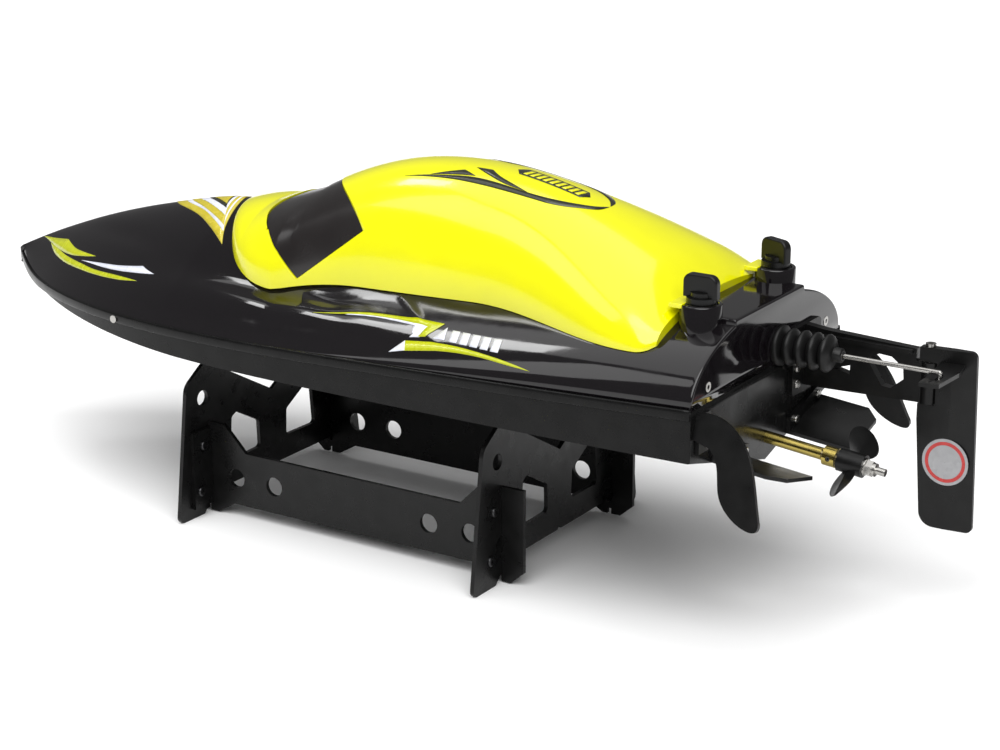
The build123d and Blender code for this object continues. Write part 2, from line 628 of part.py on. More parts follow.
def bellows_profile():
    """Half profile of a four-lobed boot, (x, radius) from the transom aft."""
    lobes = 4
    first = TRANSOM_X - 3.0
    pitch = (BELLOWS_FACE_X - first) / lobes
    points = [(TRANSOM_X, 10.8), (first + 1.0, 10.8)]
    for i in range(lobes):
        start = first + i * pitch
        for k in (0.0, 0.2, 0.4, 0.6, 0.8):
            points.append((start + pitch * k, 5.6 + 4.4 * math.sin(math.pi * k) ** 0.8))
    points += [(BELLOWS_FACE_X, 7.5), (BELLOWS_FACE_X, 3.6), (BELLOWS_END_X, 3.4)]
    return points


outer = bellows_profile()
inner = [(BELLOWS_END_X, ROD_R + 0.05), (BELLOWS_END_X + 3.0, ROD_R + 0.05), (BELLOWS_END_X + 3.8, 3.0),
         (TRANSOM_X, 3.4)]
half = make_face(Polyline(*(outer + inner), close=True))
boot = revolve(Plane.XZ * half, Axis.X, 360)
save("pushrod_bellows", Pos(0, PUSHROD_Y, PUSHROD_Z) * boot)

# ---- turn fins and trim tabs -------------------------------------------------
FIN_Y = 80.0
FIN_ROOT_Z = 117.0
FIN_LEAN = 17.0


def turn_fin(side):
    """Curved sheet fin, leaning outwards, with a foot on the transom."""
    crown = Line((TRANSOM_X, 125), (-218, 125)) + Spline((-218, 125), (-232, 120.5), (-242, 110), (-247.5,
                                                                                                   98), (-254,
                                                                                                         77))
    tip = Spline((-254, 77), (-253.6, 73.5), (-248, 72.5))
    inside = Spline((-248, 72.5), (-238, 77.5), (-231, 86), (-228, 98), (-222, 108)) + Line((-222, 108),
                                                                                            (TRANSOM_X, 111))
    outline = crown + tip + inside + Line((TRANSOM_X, 111), (TRANSOM_X, 125))
    fin = extrude(Plane.XZ.offset(1.2) * make_face(outline), 2.4, dir=(0, 1, 0))
    fin = Pos(0, FIN_Y, FIN_ROOT_Z) * Rot(FIN_LEAN, 0, 0) * Pos(0, 0, -FIN_ROOT_Z) * fin
    fin = fin - block(TRANSOM_X, TRANSOM_X + 5, FIN_Y - 20, FIN_Y + 20, 60, 140)
    foot = block(TRANSOM_X - 2.0, TRANSOM_X, FIN_Y - 12.0, FIN_Y, 103, 123)
    whole = fin + foot
    return whole if side == 1 else mirror(whole, Plane.XZ)


def tab(side):
    """Trim tab: plate in line with the vee bottom, plus an upright foot."""
    inner_y, outer_y = 24.0, 62.0
    rise = BOTTOM_RISE
    length = 38.0
    plan = make_face(Polyline((TRANSOM_X, inner_y), (TRANSOM_X - length, inner_y), (TRANSOM_X - length,
                                                                                    outer_y - 8),
                              (TRANSOM_X - length + 8, outer_y), (TRANSOM_X, outer_y), close=True))
    column = Pos(0, 0, 60) * extrude(plan, 60)
    z_in = KEEL_Z + rise * inner_y + 1.2
    z_out = KEEL_Z + rise * outer_y + 1.2
    band = at_station(TRANSOM_X, [(inner_y - 1, z_in - rise), (outer_y + 1, z_out + rise), (outer_y + 1,
                                                                                            z_out + rise + 2),
                                  (inner_y - 1, z_in - rise + 2)])
    sheet = extrude(band, length, dir=(-math.cos(0.1), 0, -math.sin(0.1))) & column
    foot_face = at_station(TRANSOM_X - 2, [(inner_y, z_in + 0.5), (outer_y, z_out + 0.5), (outer_y,
                                                                                           z_out + 9),
                                           (inner_y, z_in + 9)])
    foot = extrude(foot_face, 2, dir=(1, 0, 0))
    whole = sheet + foot
    return whole if side == 1 else mirror(whole, Plane.XZ)


def stern_screw(y, z, thickness):
    """Pan-head screw driven forward into the transom."""
    head = rod((TRANSOM_X - thickness - 1.7, y, z), (TRANSOM_X - thickness, y, z), 2.3)
    head = fillet(head.edges().group_by(Axis.X)[0], 0.7)
    return head + rod((TRANSOM_X - thickness, y, z), (TRANSOM_X + 6, y, z), 1.2)


fin_screws, tab_screws = [], []
for side, label in ((1, "port"), (-1, "starboard")):
    fin, trim = turn_fin(side), tab(side)
    for z in (107.0, 119.0):
        y = side * (FIN_Y - 7.5)
        hole = rod((TRANSOM_X - 5, y, z), (TRANSOM_X + 12, y, z), 1.2)
        fin -= hole
        hull_drill.append(hole)
        fin_screws.append(stern_screw(y, z, 2.0))
    for y in (30.0, 56.0):
        z = KEEL_Z + BOTTOM_RISE * y + 6.5
        hole = rod((TRANSOM_X - 5, side * y, z), (TRANSOM_X + 12, side * y, z), 1.2)
        trim -= hole
        hull_drill.append(hole)
        tab_screws.append(stern_screw(side * y, z, 2.0))
    save(f"turn_fin_{label}", fin)
    save(f"trim_tab_{label}", trim)
save("fin_screws", fin_screws)
save("tab_screws", tab_screws)
for hole in hull_drill:
    hull -= hole
save("lower_hull", hull)

# ---- drive line --------------------------------------------------------------
TUBE_R = 3.25
SHAFT_R = 2.0
tube = ring(shaft_point(-244.5), shaft_point(-150), TUBE_R, SHAFT_R + 0.08)
save("shaft_tube", tube)

shaft = rod(shaft_point(-279.5), shaft_point(-96.0), SHAFT_R)
save("propeller_shaft", shaft)
collar = ring(shaft_point(-252.8), shaft_point(-246.0), 5.2, SHAFT_R)
cx, cy, cz = shaft_point(-249.4)
screw_hole = rod((cx, cy, cz), (cx, cy + 7, cz), 1.3)
save("drive_collar", collar - screw_hole)
grub = rod((cx, cy + SHAFT_R, cz), (cx, cy + 4.6, cz), 1.3) - rod((cx, cy + 3.4, cz), (cx, cy + 5.4, cz), 0.6)
save("collar_set_screw", grub)


BLADE_TURN = 56.0


def propeller():
    """Two-blade propeller with raked, twisted blades."""
    hub = ring(shaft_point(-268.0), shaft_point(-254.2), 6.0, SHAFT_R)
    axis = Plane(origin=shaft_point(PROP_X), z_dir=Vector(*shaft_point(0)) - Vector(*shaft_point(-10)))
    result = hub
    for turn in (BLADE_TURN, BLADE_TURN + 180.0):
        sections = []
        for radius, chord, twist in ((4.5, 8.5, 56.0), (9.0, 15.0, 50.0), (14.0, 19.0, 45.0), (18.0, 16.5,
                                                                                               42.0),
                                     (20.6, 10.0, 40.0), (PROP_R, 5.0, 40.0)):
            thick = 1.9 - 0.055 * radius
            profile = make_face(Polyline((-chord / 2, 0), (0, thick * 0.7), (chord / 2, 0), (0, -thick * 0.5),
                                         close=True))
            place = axis * Rot(0, 0, turn) * Pos(radius, 0, 0) * Rot(0, 90, 0) * Rot(0, 0, 90 - twist)
            sections.append(place * profile)
        result = result + loft(sections, ruled=False)
    return result - rod(shaft_point(-280), shaft_point(-240), SHAFT_R)


save("propeller", propeller())
save("prop_washer", ring(shaft_point(-269.0), shaft_point(-268.0), 4.6, SHAFT_R))
nut_plane = Plane(origin=shaft_point(-269.0), z_dir=Vector(*shaft_point(-10)) - Vector(*shaft_point(0)))
nut = extrude(nut_plane * RegularPolygon(4.3, 6), 3.6)
nut = nut + extrude(nut_plane.offset(3.6) * Circle(3.5), 1.8)
nut -= rod(shaft_point(-285), shaft_point(-260), SHAFT_R)
save("prop_lock_nut", nut)

# motor, its cooling jacket and the coupling
MOTOR_AFT_X, MOTOR_FRONT_X = -116.0, -56.0
coupling = ring(shaft_point(-146.0), shaft_point(-122.0), 5.5, SHAFT_R)
save("shaft_coupling", coupling)
case = rod(shaft_point(MOTOR_AFT_X), shaft_point(MOTOR_FRONT_X), 18.0)
case -= rod(shaft_point(MOTOR_AFT_X + 2.5), shaft_point(MOTOR_FRONT_X - 2.5), 15.8)
case -= rod(shaft_point(MOTOR_AFT_X - 1), shaft_point(MOTOR_AFT_X + 4), SHAFT_R + 0.08)
save("motor_case", case)
save("motor_rotor", ring(shaft_point(MOTOR_AFT_X + 8), shaft_point(-97.0), 11.0, SHAFT_R)
     + ring(shaft_point(-97.0), shaft_point(MOTOR_FRONT_X - 8), 11.0, 3.0))
jacket = ring(shaft_point(-104.0), shaft_point(-68.0), 20.2, 18.0)
save("water_jacket", jacket)

mount = cavity & block(MOTOR_AFT_X - 3.0, MOTOR_AFT_X, -22.5, 22.5, 70, 122)
mount = mount & loft([hull_section(x, WALL + 0.3, 140) for x in (-130, -100)], ruled=True)
mount -= rod(shaft_point(-135), shaft_point(-90), 8.0)
mount -= rod(shaft_point(MOTOR_AFT_X), shaft_point(-60), 18.4)
save("motor_mount", mount)

# ---- electronics on a tray that spans the bottom ------------------------------
TRAY_Z = 95.0
tray = loft([hull_section(x, WALL + 0.3, 140) for x in INNER_XS], ruled=True)
tray = tray & block(-200, 118, -100, 100, TRAY_Z, TRAY_Z + 2.0)
tray -= block(-155, -48, -23, 23, 60, 130)
tray -= block(-210, -150, -8, 8, 60, 130)
save("equipment_tray", tray)
TOP = TRAY_Z + 2.0
battery = block(-36, 102, -23, 23, TOP, TOP + 26)
battery = fillet(battery.edges().filter_by(Axis.X), 4)
save("battery", battery)
straps = []
for x in (-8.0, 66.0):
    outer_strap = block(x - 9, x + 9, -24.6, 24.6, TOP, TOP + 27.6)
    straps.append(outer_strap - block(x - 10, x + 10, -23, 23, TOP - 1, TOP + 26))
save("battery_straps", straps)
esc = block(-128, -62, 28, 58, TOP, TOP + 15)
for k in range(6):
    esc -= block(-124 + k * 10, -119 + k * 10, 31, 55, TOP + 9, TOP + 16)
save("speed_controller", esc)
receiver = block(-132, -92, -58, -32, TOP, TOP + 13)
receiver = fillet(receiver.edges().filter_by(Axis.Z), 2)
save("radio_receiver", receiver)

servo_top = HORN_Z - 2.0
servo = block(SERVO_X - 30, SERVO_X + 10, SERVO_Y - 10, SERVO_Y + 10, TOP, servo_top - 2)
servo = servo + block(SERVO_X - 37, SERVO_X + 17, SERVO_Y - 9, SERVO_Y + 9, servo_top - 12, servo_top - 9.5)
servo = servo + rod((SERVO_X, SERVO_Y, servo_top - 2), (SERVO_X, SERVO_Y, servo_top), 6.0)
save("steering_servo", servo)
servo_arm = extrude(Circle(5.0), HORN_THICK)
servo_arm = servo_arm + extrude(make_face(Polyline((-4.2, 0), (4.2, 0), (3.2, 31), (-3.2, 31), close=True)),
                                HORN_THICK)
servo_arm = Pos(SERVO_X, SERVO_Y, HORN_Z) * servo_arm - link_slot((SERVO_X, SERVO_Y), SERVO_X, SERVO_RATIO)
servo_arm = servo_arm + rod((SERVO_X, SERVO_Y, servo_top + 0.3), (SERVO_X, SERVO_Y, HORN_Z), 4.0)
save("servo_arm", servo_arm)
legs = []
for x in (SERVO_X - 37, SERVO_X + 10.3):
    legs.append(block(x, x + 6.7, SERVO_Y - 9, SERVO_Y + 9, TOP, servo_top - 12))
save("servo_mount", legs)


def wire(points, radii, radius):
    """Insulated wire along straight runs joined by arcs."""
    path = FilletPolyline(*points, radius=radii)
    start = Plane(origin=path @ 0, z_dir=path % 0)
    return sweep(start * Circle(radius), path=path)


motor_leads = []
for k in range(3):
    y = 14.0 - 4.0 * k
    sx, _, sz = shaft_point(MOTOR_FRONT_X)
    motor_leads.append(wire([(sx, y, sz + 2), (-42 + 1.5 * k, y, sz + 2), (-42 + 1.5 * k, 36 + 5 * k,
                                                                           TOP + 5.0),
                             (-62, 36 + 5 * k, TOP + 5.0)], 5.0, 1.3))
save("motor_wires", motor_leads)
battery_leads = []
for k in (0, 1):
    y_end = 32.0 + 5.0 * k
    x_turn = -46.0 + 4.0 * k
    battery_leads.append(wire([(-36, 12 + 5 * k, TOP + 20), (x_turn - 4, 12 + 5 * k, TOP + 20),
                               (x_turn - 4, y_end, TOP + 12), (-62, y_end, TOP + 12)], 2.6, 1.2))
save("battery_leads", battery_leads)
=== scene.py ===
import math

import bmesh
import bpy
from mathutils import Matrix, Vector


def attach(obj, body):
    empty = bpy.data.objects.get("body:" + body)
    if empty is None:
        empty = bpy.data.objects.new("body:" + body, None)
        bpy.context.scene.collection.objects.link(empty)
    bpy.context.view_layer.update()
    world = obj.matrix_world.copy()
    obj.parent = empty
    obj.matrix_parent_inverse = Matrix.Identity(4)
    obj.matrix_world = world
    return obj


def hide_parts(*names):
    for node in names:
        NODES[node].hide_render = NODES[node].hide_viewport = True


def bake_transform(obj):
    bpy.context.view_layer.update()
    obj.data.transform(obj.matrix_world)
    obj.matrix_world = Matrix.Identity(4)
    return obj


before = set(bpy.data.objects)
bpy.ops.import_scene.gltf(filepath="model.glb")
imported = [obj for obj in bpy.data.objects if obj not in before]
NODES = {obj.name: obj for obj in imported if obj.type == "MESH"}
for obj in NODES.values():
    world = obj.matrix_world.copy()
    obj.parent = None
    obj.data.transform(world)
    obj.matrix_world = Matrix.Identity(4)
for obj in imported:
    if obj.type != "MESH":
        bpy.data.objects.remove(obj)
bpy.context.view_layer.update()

# Metres.  +X bow, +Y port, +Z up.
# ---- hull form, the same formulas as the CAD -----------------------------------
BOW_X = 0.3085
TRANSOM_X = -0.2125
HALF_BEAM = 0.090
BEAM_X = -0.048
BOW_POWER = 3.4
STERN_TAPER, STERN_TAPER_LENGTH = 0.004, 0.165
KEEL_Z = 0.076
KEEL_RISE_X, KEEL_RISE, KEEL_POWER = 0.105, 0.032, 2.2
CHINE_Z = 0.0995
CHINE_RISE_X, CHINE_RISE, CHINE_POWER = 0.112, 0.0105, 1.6
SEAM_STERN_Z = 0.1265
SEAM_SLOPE = 0.033465
SEAM_RISE_X, SEAM_RISE, SEAM_RISE_LENGTH = 0.262, 0.006, 0.046
CREST_Z = 0.180
CREST_FALL_X, CREST_FALL, CREST_POWER = 0.012, 0.061, 2.3
PEAK_POWER, PEAK_POWER_GAIN = 1.06, 0.42
PEAK_X, PEAK_LENGTH = 0.060, 0.070
ARCH_X, ARCH_LENGTH = 0.060, 0.250
SHOULDER_RISE = 0.0365
COCKPIT_Z = 0.1615
COCKPIT_END_X = 0.066
COCKPIT_HALF = 0.0395
WALL = 0.0022
GAP = 0.0004
TIP_HALF = 0.0005
TINY = 1e-6
KNOB_X, KNOB_Y = -0.194, 0.042
BOSS_TOP_Z = 0.1655
PUSHROD_Y, PUSHROD_Z = -0.012, 0.1354

# Muscle lines moulded in the deck: height, centre and width across, centre and width along.
# The first three lie across by share of the half beam, the last two by distance from a slanted line.
FENDER = (0.0032, 0.80, 0.11, 0.060, 0.090)
HOLLOW = (-0.0020, 0.62, 0.12, 0.070, 0.075)
RIPPLE = (0.0003, 0.72, 0.14, 0.030, 0.040)
RIPPLE_ALONG, RIPPLE_ACROSS = 130, 12
GROOVE = (-0.0014, 0.097564, 0.006, 0.195, 0.042)
GROOVE_SLANT = 0.363
CREASE = (0.0006, 0.0378, 0.0022, -0.036, 0.020)
CREASE_SLANT = 0.72
RELIEF_END, RELIEF_FADE = 0.99, 0.12


def share(value, start, length):
    """How far the value is from start towards start + length, held between 0 and 1."""
    return min(max((value - start) / length, 0.0), 1.0)


def bump(value, centre, width):
    """Smooth hump of height 1."""
    t = (value - centre) / width
    return math.exp(-t * t)


def patch(across, along, shape):
    """Raised or hollow patch of the deck."""
    height, across_at, across_width, along_at, along_width = shape
    return height * bump(across, across_at, across_width) * bump(along, along_at, along_width)


def half_beam(x):
    """Half width of the hull in plan."""
    if x < BEAM_X:
        return HALF_BEAM - STERN_TAPER * ((BEAM_X - x) / STERN_TAPER_LENGTH) ** 2
    t = min((x - BEAM_X) / (BOW_X - BEAM_X), 1.0)
    return HALF_BEAM * (1.0 - t ** BOW_POWER)


def keel_z(x):
    """Height of the keel line."""
    t = max(x - KEEL_RISE_X, 0.0) / (BOW_X - KEEL_RISE_X)
    return KEEL_Z + KEEL_RISE * t ** KEEL_POWER


def chine_z(x):
    """Height of the hard chine."""
    t = max(x - CHINE_RISE_X, 0.0) / (BOW_X - CHINE_RISE_X)
    return CHINE_Z + CHINE_RISE * t ** CHINE_POWER


def seam_z(x):
    """Height of the joint between hull and deck."""
    t = max(x - SEAM_RISE_X, 0.0) / SEAM_RISE_LENGTH
    return SEAM_STERN_Z - SEAM_SLOPE * (x - TRANSOM_X) + SEAM_RISE * t ** 2


def crest_z(x):
    """Height of the deck's ridge line."""
    t = max(x - CREST_FALL_X, 0.0) / (BOW_X - CREST_FALL_X)
    return CREST_Z - CREST_FALL * t ** CREST_POWER


def deck_power(x):
    """How rounded the deck is: 1 is a straight slope from ridge to joint."""
    return PEAK_POWER + PEAK_POWER_GAIN * share(x, PEAK_X, PEAK_LENGTH)


def stern_share(x):
    """0 where the deck is peaked, rising smoothly to 1 where it is a round arch."""
    t = share(x, ARCH_X, -ARCH_LENGTH)
    return t * t * (3.0 - 2.0 * t)


def beam_share(x, y):
    """Distance from the middle as a share of the half beam."""
    return min(abs(y) / max(half_beam(x), TIP_HALF), 1.0)


def deck_relief(x, y):
    """Moulded muscle lines that run along the deck's sides."""
    u = beam_share(x, y)
    ripple = patch(u, x, RIPPLE) * math.sin(x * RIPPLE_ALONG + u * RIPPLE_ACROSS)
    groove = patch(abs(y) + GROOVE_SLANT * x, x, GROOVE)
    crease = patch(abs(y) + CREASE_SLANT * x, x, CREASE)
    fade = share(u, RELIEF_END, -RELIEF_FADE)
    return fade * (patch(u, x, FENDER) + patch(u, x, HOLLOW) + ripple + groove) + crease


def plain_deck_z(x, y):
    """Deck height without the moulded relief."""
    u = beam_share(x, y)
    peaked = (crest_z(x) - seam_z(x)) * (1.0 - u ** deck_power(x))
    arched = SHOULDER_RISE * math.sqrt(1.0 - u * u)
    return seam_z(x) + peaked + (arched - peaked) * stern_share(x)


def deck_z(x, y):
    """Height of the deck's outer surface."""
    return plain_deck_z(x, y) + deck_relief(x, y)


# ---- canopy form, the same formulas as the CAD ---------------------------------
CANOPY_NOSE_X = 0.1215
CANOPY_TAIL_X = -0.182
CANOPY_WALL = 0.0020
COLLAR_X, COLLAR_HALF = 0.066, 0.058
WAIST_FRONT_X, WAIST_REAR_X, CANOPY_WAIST = 0.010, -0.060, 0.050
HIP_X, CANOPY_HIP, HIP_CORNER = -0.172, 0.0713, 0.012
COWL_X, COWL_Z, COWL_FALL = 0.095, 0.1785, 0.0043
PANE_TOP_X, PANE_RISE = 0.057, 0.0125
ROOF_FRONT_Z, ROOF_FRONT_POWER = 0.193, 2.3
ROOF_X, ROOF_Z = -0.035, 0.2138
ROOF_FALL, ROOF_FALL_LENGTH, ROOF_FALL_POWER = 0.0438, 0.150, 1.76
TAIL_X, TAIL_FALL, TAIL_LENGTH, TAIL_POWER = -0.160, 0.006, 0.022, 1.6
NOSE_ROUNDNESS, ROUNDNESS_GAIN, ROUNDNESS_LENGTH = 0.85, 0.13, 0.110
SECTION_POWER = 0.9
NOSE_HALF, NOSE_RISE = 0.0008, 0.001


def canopy_half_width(x):
    """Half width of the canopy's lower edge."""
    if x > COLLAR_X:
        t = min((x - COLLAR_X) / (CANOPY_NOSE_X - COLLAR_X), 1.0)
        return COLLAR_HALF * math.sqrt(max(1.0 - t ** 2, 0.0))
    if x > WAIST_FRONT_X:
        t = (x - WAIST_FRONT_X) / (COLLAR_X - WAIST_FRONT_X)
        return CANOPY_WAIST + (COLLAR_HALF - CANOPY_WAIST) * t ** 2
    if x > WAIST_REAR_X:
        return CANOPY_WAIST
    if x > HIP_X:
        t = (WAIST_REAR_X - x) / (WAIST_REAR_X - HIP_X)
        return CANOPY_WAIST + (CANOPY_HIP - CANOPY_WAIST) * math.sin(t * math.pi / 2) ** 2
    return CANOPY_HIP - HIP_CORNER + math.sqrt(max(HIP_CORNER ** 2 - (HIP_X - x) ** 2, 0.0))


def canopy_top_z(x):
    """Height of the canopy along the middle: cowl, windshield, roof and tail."""
    if x > COWL_X:
        t = (x - COWL_X) / (CANOPY_NOSE_X - COWL_X)
        return COWL_Z - COWL_FALL * t ** 2
    if x > PANE_TOP_X:
        return COWL_Z + (COWL_X - x) / (COWL_X - PANE_TOP_X) * PANE_RISE
    if x > ROOF_X:
        t = (x - ROOF_X) / (PANE_TOP_X - ROOF_X)
        return ROOF_FRONT_Z + (ROOF_Z - ROOF_FRONT_Z) * (1.0 - t ** ROOF_FRONT_POWER)
    t = (ROOF_X - x) / ROOF_FALL_LENGTH
    tail = max((TAIL_X - x) / TAIL_LENGTH, 0.0)
    return ROOF_Z - ROOF_FALL * t ** ROOF_FALL_POWER - TAIL_FALL * tail ** TAIL_POWER


def canopy_roundness(x):
    """Exponent of the section's height: fuller towards the nose."""
    return NOSE_ROUNDNESS + ROUNDNESS_GAIN * share(x, WAIST_FRONT_X, -ROUNDNESS_LENGTH)


def canopy_point(x, a):
    """Point of the canopy's skin: a is 0 at the port edge, pi/2 on top, pi at the starboard edge."""
    w = max(canopy_half_width(x), NOSE_HALF)
    base = plain_deck_z(x, w) + GAP
    rise = max(canopy_top_z(x) - base, NOSE_RISE)
    c, s = math.cos(a), math.sin(a)
    y = w * math.copysign(abs(c) ** SECTION_POWER, c)
    return Vector((x, y, base + rise * max(s, 0.0) ** canopy_roundness(x)))


def canopy_z(x, y):
    """Height of the canopy's skin above (x, y)."""
    w = canopy_half_width(x)
    a = math.acos(min(abs(y) / w, 1.0) ** (1 / SECTION_POWER))
    return canopy_point(x, a).z


# ---- materials -----------------------------------------------------------------
def new_material(name, color, roughness, metallic=0.0, coat=0.0, specular=0.5):
    """Principled material with its main values set on the shader."""
    mat = bpy.data.materials.new(name)
    mat.use_nodes = True
    shader = mat.node_tree.nodes["Principled BSDF"]
    shader.inputs["Base Color"].default_value = (*color, 1.0)
    shader.inputs["Roughness"].default_value = roughness
    shader.inputs["Metallic"].default_value = metallic
    shader.inputs["Coat Weight"].default_value = coat
    shader.inputs["Specular IOR Level"].default_value = specular
    return mat


def add_noise(mat, scale, detail=4.0, stretch=(1, 1, 1)):
    """Noise texture on object coordinates; returns its Fac output."""
    tree = mat.node_tree
    coords = tree.nodes.new("ShaderNodeTexCoord")
    mapping = tree.nodes.new("ShaderNodeMapping")
    mapping.inputs["Scale"].default_value = stretch
    texture = tree.nodes.new("ShaderNodeTexNoise")
    texture.inputs["Scale"].default_value = scale
    texture.inputs["Detail"].default_value = detail
    tree.links.new(coords.outputs["Object"], mapping.inputs["Vector"])
    tree.links.new(mapping.outputs["Vector"], texture.inputs["Vector"])
    return texture.outputs["Fac"]


def vary_roughness(mat, low, high, scale, stretch=(1, 1, 1)):
    """Roughness wanders between two values."""
    tree = mat.node_tree
    fac = add_noise(mat, scale, 6.0, stretch)
    ramp = tree.nodes.new("ShaderNodeMapRange")
    ramp.inputs["From Min"].default_value = 0.3
    ramp.inputs["From Max"].default_value = 0.7
    ramp.inputs["To Min"].default_value = low
    ramp.inputs["To Max"].default_value = high
    tree.links.new(fac, ramp.inputs["Value"])
    tree.links.new(ramp.outputs["Result"], tree.nodes["Principled BSDF"].inputs["Roughness"])


def add_bump(mat, scale, distance, strength=1.0, stretch=(1, 1, 1), detail=3.0):
    """Fine surface texture."""
    tree = mat.node_tree
    fac = add_noise(mat, scale, detail, stretch)
    node = tree.nodes.new("ShaderNodeBump")
    node.inputs["Distance"].default_value = distance
    node.inputs["Strength"].default_value = strength
    tree.links.new(fac, node.inputs["Height"])
    tree.links.new(node.outputs["Normal"], tree.nodes["Principled BSDF"].inputs["Normal"])


def tint(mat, color_a, color_b, scale, stretch=(1, 1, 1)):
    """Base colour wanders between two close shades."""
    tree = mat.node_tree
    fac = add_noise(mat, scale, 5.0, stretch)
    ramp = tree.nodes.new("ShaderNodeValToRGB")
    ramp.color_ramp.elements[0].position = 0.35
    ramp.color_ramp.elements[1].position = 0.65
    ramp.color_ramp.elements[0].color = (*color_a, 1.0)
    ramp.color_ramp.elements[1].color = (*color_b, 1.0)
    tree.links.new(fac, ramp.inputs["Fac"])
    tree.links.new(ramp.outputs["Color"], tree.nodes["Principled BSDF"].inputs["Base Color"])


def gloss_black():
    """Deep gloss of the painted deck."""
    mat = new_material("deck_gloss", (0.005, 0.004, 0.005), 0.06, coat=0.05)
    vary_roughness(mat, 0.04, 0.10, 60)
    add_bump(mat, 45, 0.0003, 0.2)
    return mat


def satin_black(name, grey, low, high, grain, specular=0.25):
    """Black moulded plastic or rubber with a fine grain."""
    mat = new_material(name, (grey, grey, grey * 1.02), (low + high) / 2, specular=specular)
    tint(mat, (grey * 0.8,) * 3, (grey * 1.25,) * 3, 120)
    vary_roughness(mat, low, high, 90)
    add_bump(mat, 2600, grain, 0.5)
    return mat


def yellow_gloss():
    """Clear-coated yellow of the canopy."""
    mat = new_material("canopy_yellow", (0.80, 0.80, 0.0), 0.2, coat=0.5)
    tint(mat, (0.77, 0.76, 0.0), (0.83, 0.81, 0.0), 18)
    vary_roughness(mat, 0.14, 0.24, 40)
    add_bump(mat, 60, 0.0003, 0.2)
    return mat


def smoked():
    """Dark semi-gloss of the windshield."""
    mat = new_material("smoked_pane", (0.012, 0.010, 0.010), 0.24, coat=0.1)
    tint(mat, (0.010, 0.008, 0.008), (0.015, 0.013, 0.013), 30)
    vary_roughness(mat, 0.20, 0.28, 70)
    return mat


def metal(name, color, low, high, stretch=(1, 1, 1)):
    """Bare metal with uneven polish."""
    mat = new_material(name, color, (low + high) / 2, metallic=1.0)
    vary_roughness(mat, low, high, 120, stretch)
    add_bump(mat, 500, 0.00001, 0.15, stretch)
    return mat


def vinyl(name, color_a, color_b):
    """Printed film, also used for cord sleeves and the battery's wrap."""
    mat = new_material(name, color_a, 0.22, coat=0.3)
    tint(mat, color_a, color_b, 300)
    vary_roughness(mat, 0.18, 0.32, 150)
    return mat


def clear_sheet():
    """Thin clear plastic of the inner hatch cover."""
    mat = new_material("clear_sheet", (0.8, 0.83, 0.86), 0.12)
    mat.node_tree.nodes["Principled BSDF"].inputs["Alpha"].default_value = 0.35
    vary_roughness(mat, 0.08, 0.2, 50)
    return mat


M = {
    "deck": gloss_black(),
    "hull": satin_black("hull_satin", 0.005, 0.20, 0.30, 0.00001, 0.16),
    "nylon": satin_black("black_nylon", 0.005, 0.26, 0.38, 0.00003),
    "stand": satin_black("stand_black", 0.004, 0.22, 0.40, 0.00005),
    "rubber": satin_black("rubber_black", 0.006, 0.32, 0.48, 0.00004),
    "tray": satin_black("tray_black", 0.020, 0.40, 0.55, 0.00005),
    "yellow": yellow_gloss(),
    "smoked": smoked(),
    "clear": clear_sheet(),
    "steel": metal("steel", (0.45, 0.44, 0.42), 0.18, 0.32),
    "black_steel": metal("black_steel", (0.06, 0.06, 0.062), 0.25, 0.42),
    "brass": metal("brass", (0.42, 0.33, 0.09), 0.18, 0.30),
    "aluminium": metal("aluminium", (0.75, 0.76, 0.78), 0.22, 0.36),
    "vinyl_yellow": vinyl("vinyl_yellow", (0.44, 0.48, 0.0), (0.50, 0.54, 0.01)),
    "vinyl_gold": vinyl("vinyl_gold", (0.50, 0.41, 0.02), (0.56, 0.47, 0.04)),
    "vinyl_white": vinyl("vinyl_white", (0.70, 0.72, 0.82), (0.78, 0.80, 0.88)),
    "vinyl_silver": vinyl("vinyl_silver", (0.30, 0.30, 0.31), (0.34, 0.34, 0.35)),
    "vinyl_red": vinyl("vinyl_red", (0.42, 0.012, 0.010), (0.48, 0.020, 0.016)),
    "vinyl_black": vinyl("vinyl_black", (0.012, 0.014, 0.006), (0.02, 0.022, 0.01)),
    "wrap": vinyl("battery_wrap", (0.04, 0.07, 0.20), (0.06, 0.10, 0.26)),
    "strap": satin_black("strap_fabric", 0.016, 0.7, 0.9, 0.0002),
    "wire_red": vinyl("wire_insulation", (0.28, 0.012, 0.01), (0.34, 0.02, 0.015)),
}

MATERIAL_NODES = {
    "hull": ["lower_hull"],
    "deck": ["deck"],
    "yellow": ["canopy"],
    "smoked": ["windshield"],
    "clear": ["inner_hatch_cover"],
    "rubber": ["pushrod_bellows"],
    "wrap": ["battery"],
    "strap": ["battery_straps"],
    "wire_red": ["motor_wires", "battery_leads"],
    "brass": ["shaft_tube", "drive_collar"],
    "aluminium": ["shaft_coupling", "motor_case", "water_jacket", "motor_mount"],
    "black_steel": ["stand_screws", "stand_nuts", "collar_set_screw"],
    "stand": ["stand_front_cradle", "stand_rear_cradle", "stand_port_rail", "stand_starboard_rail"],
    "tray": [
        "equipment_tray", "speed_controller", "radio_receiver", "steering_servo", "servo_mount",
    ],
    "nylon": [
        "thumb_screw_port", "thumb_screw_starboard", "rudder_bracket", "rudder_blade",
        "turn_fin_port", "turn_fin_starboard", "trim_tab_port", "trim_tab_starboard",
        "propeller", "servo_arm",
    ],
    "steel": [
        "deck_screws", "bracket_screws", "rudder_pivot_pin", "pushrod", "fin_screws", "tab_screws",
        "propeller_shaft", "prop_washer", "prop_lock_nut", "motor_rotor",
    ],
}
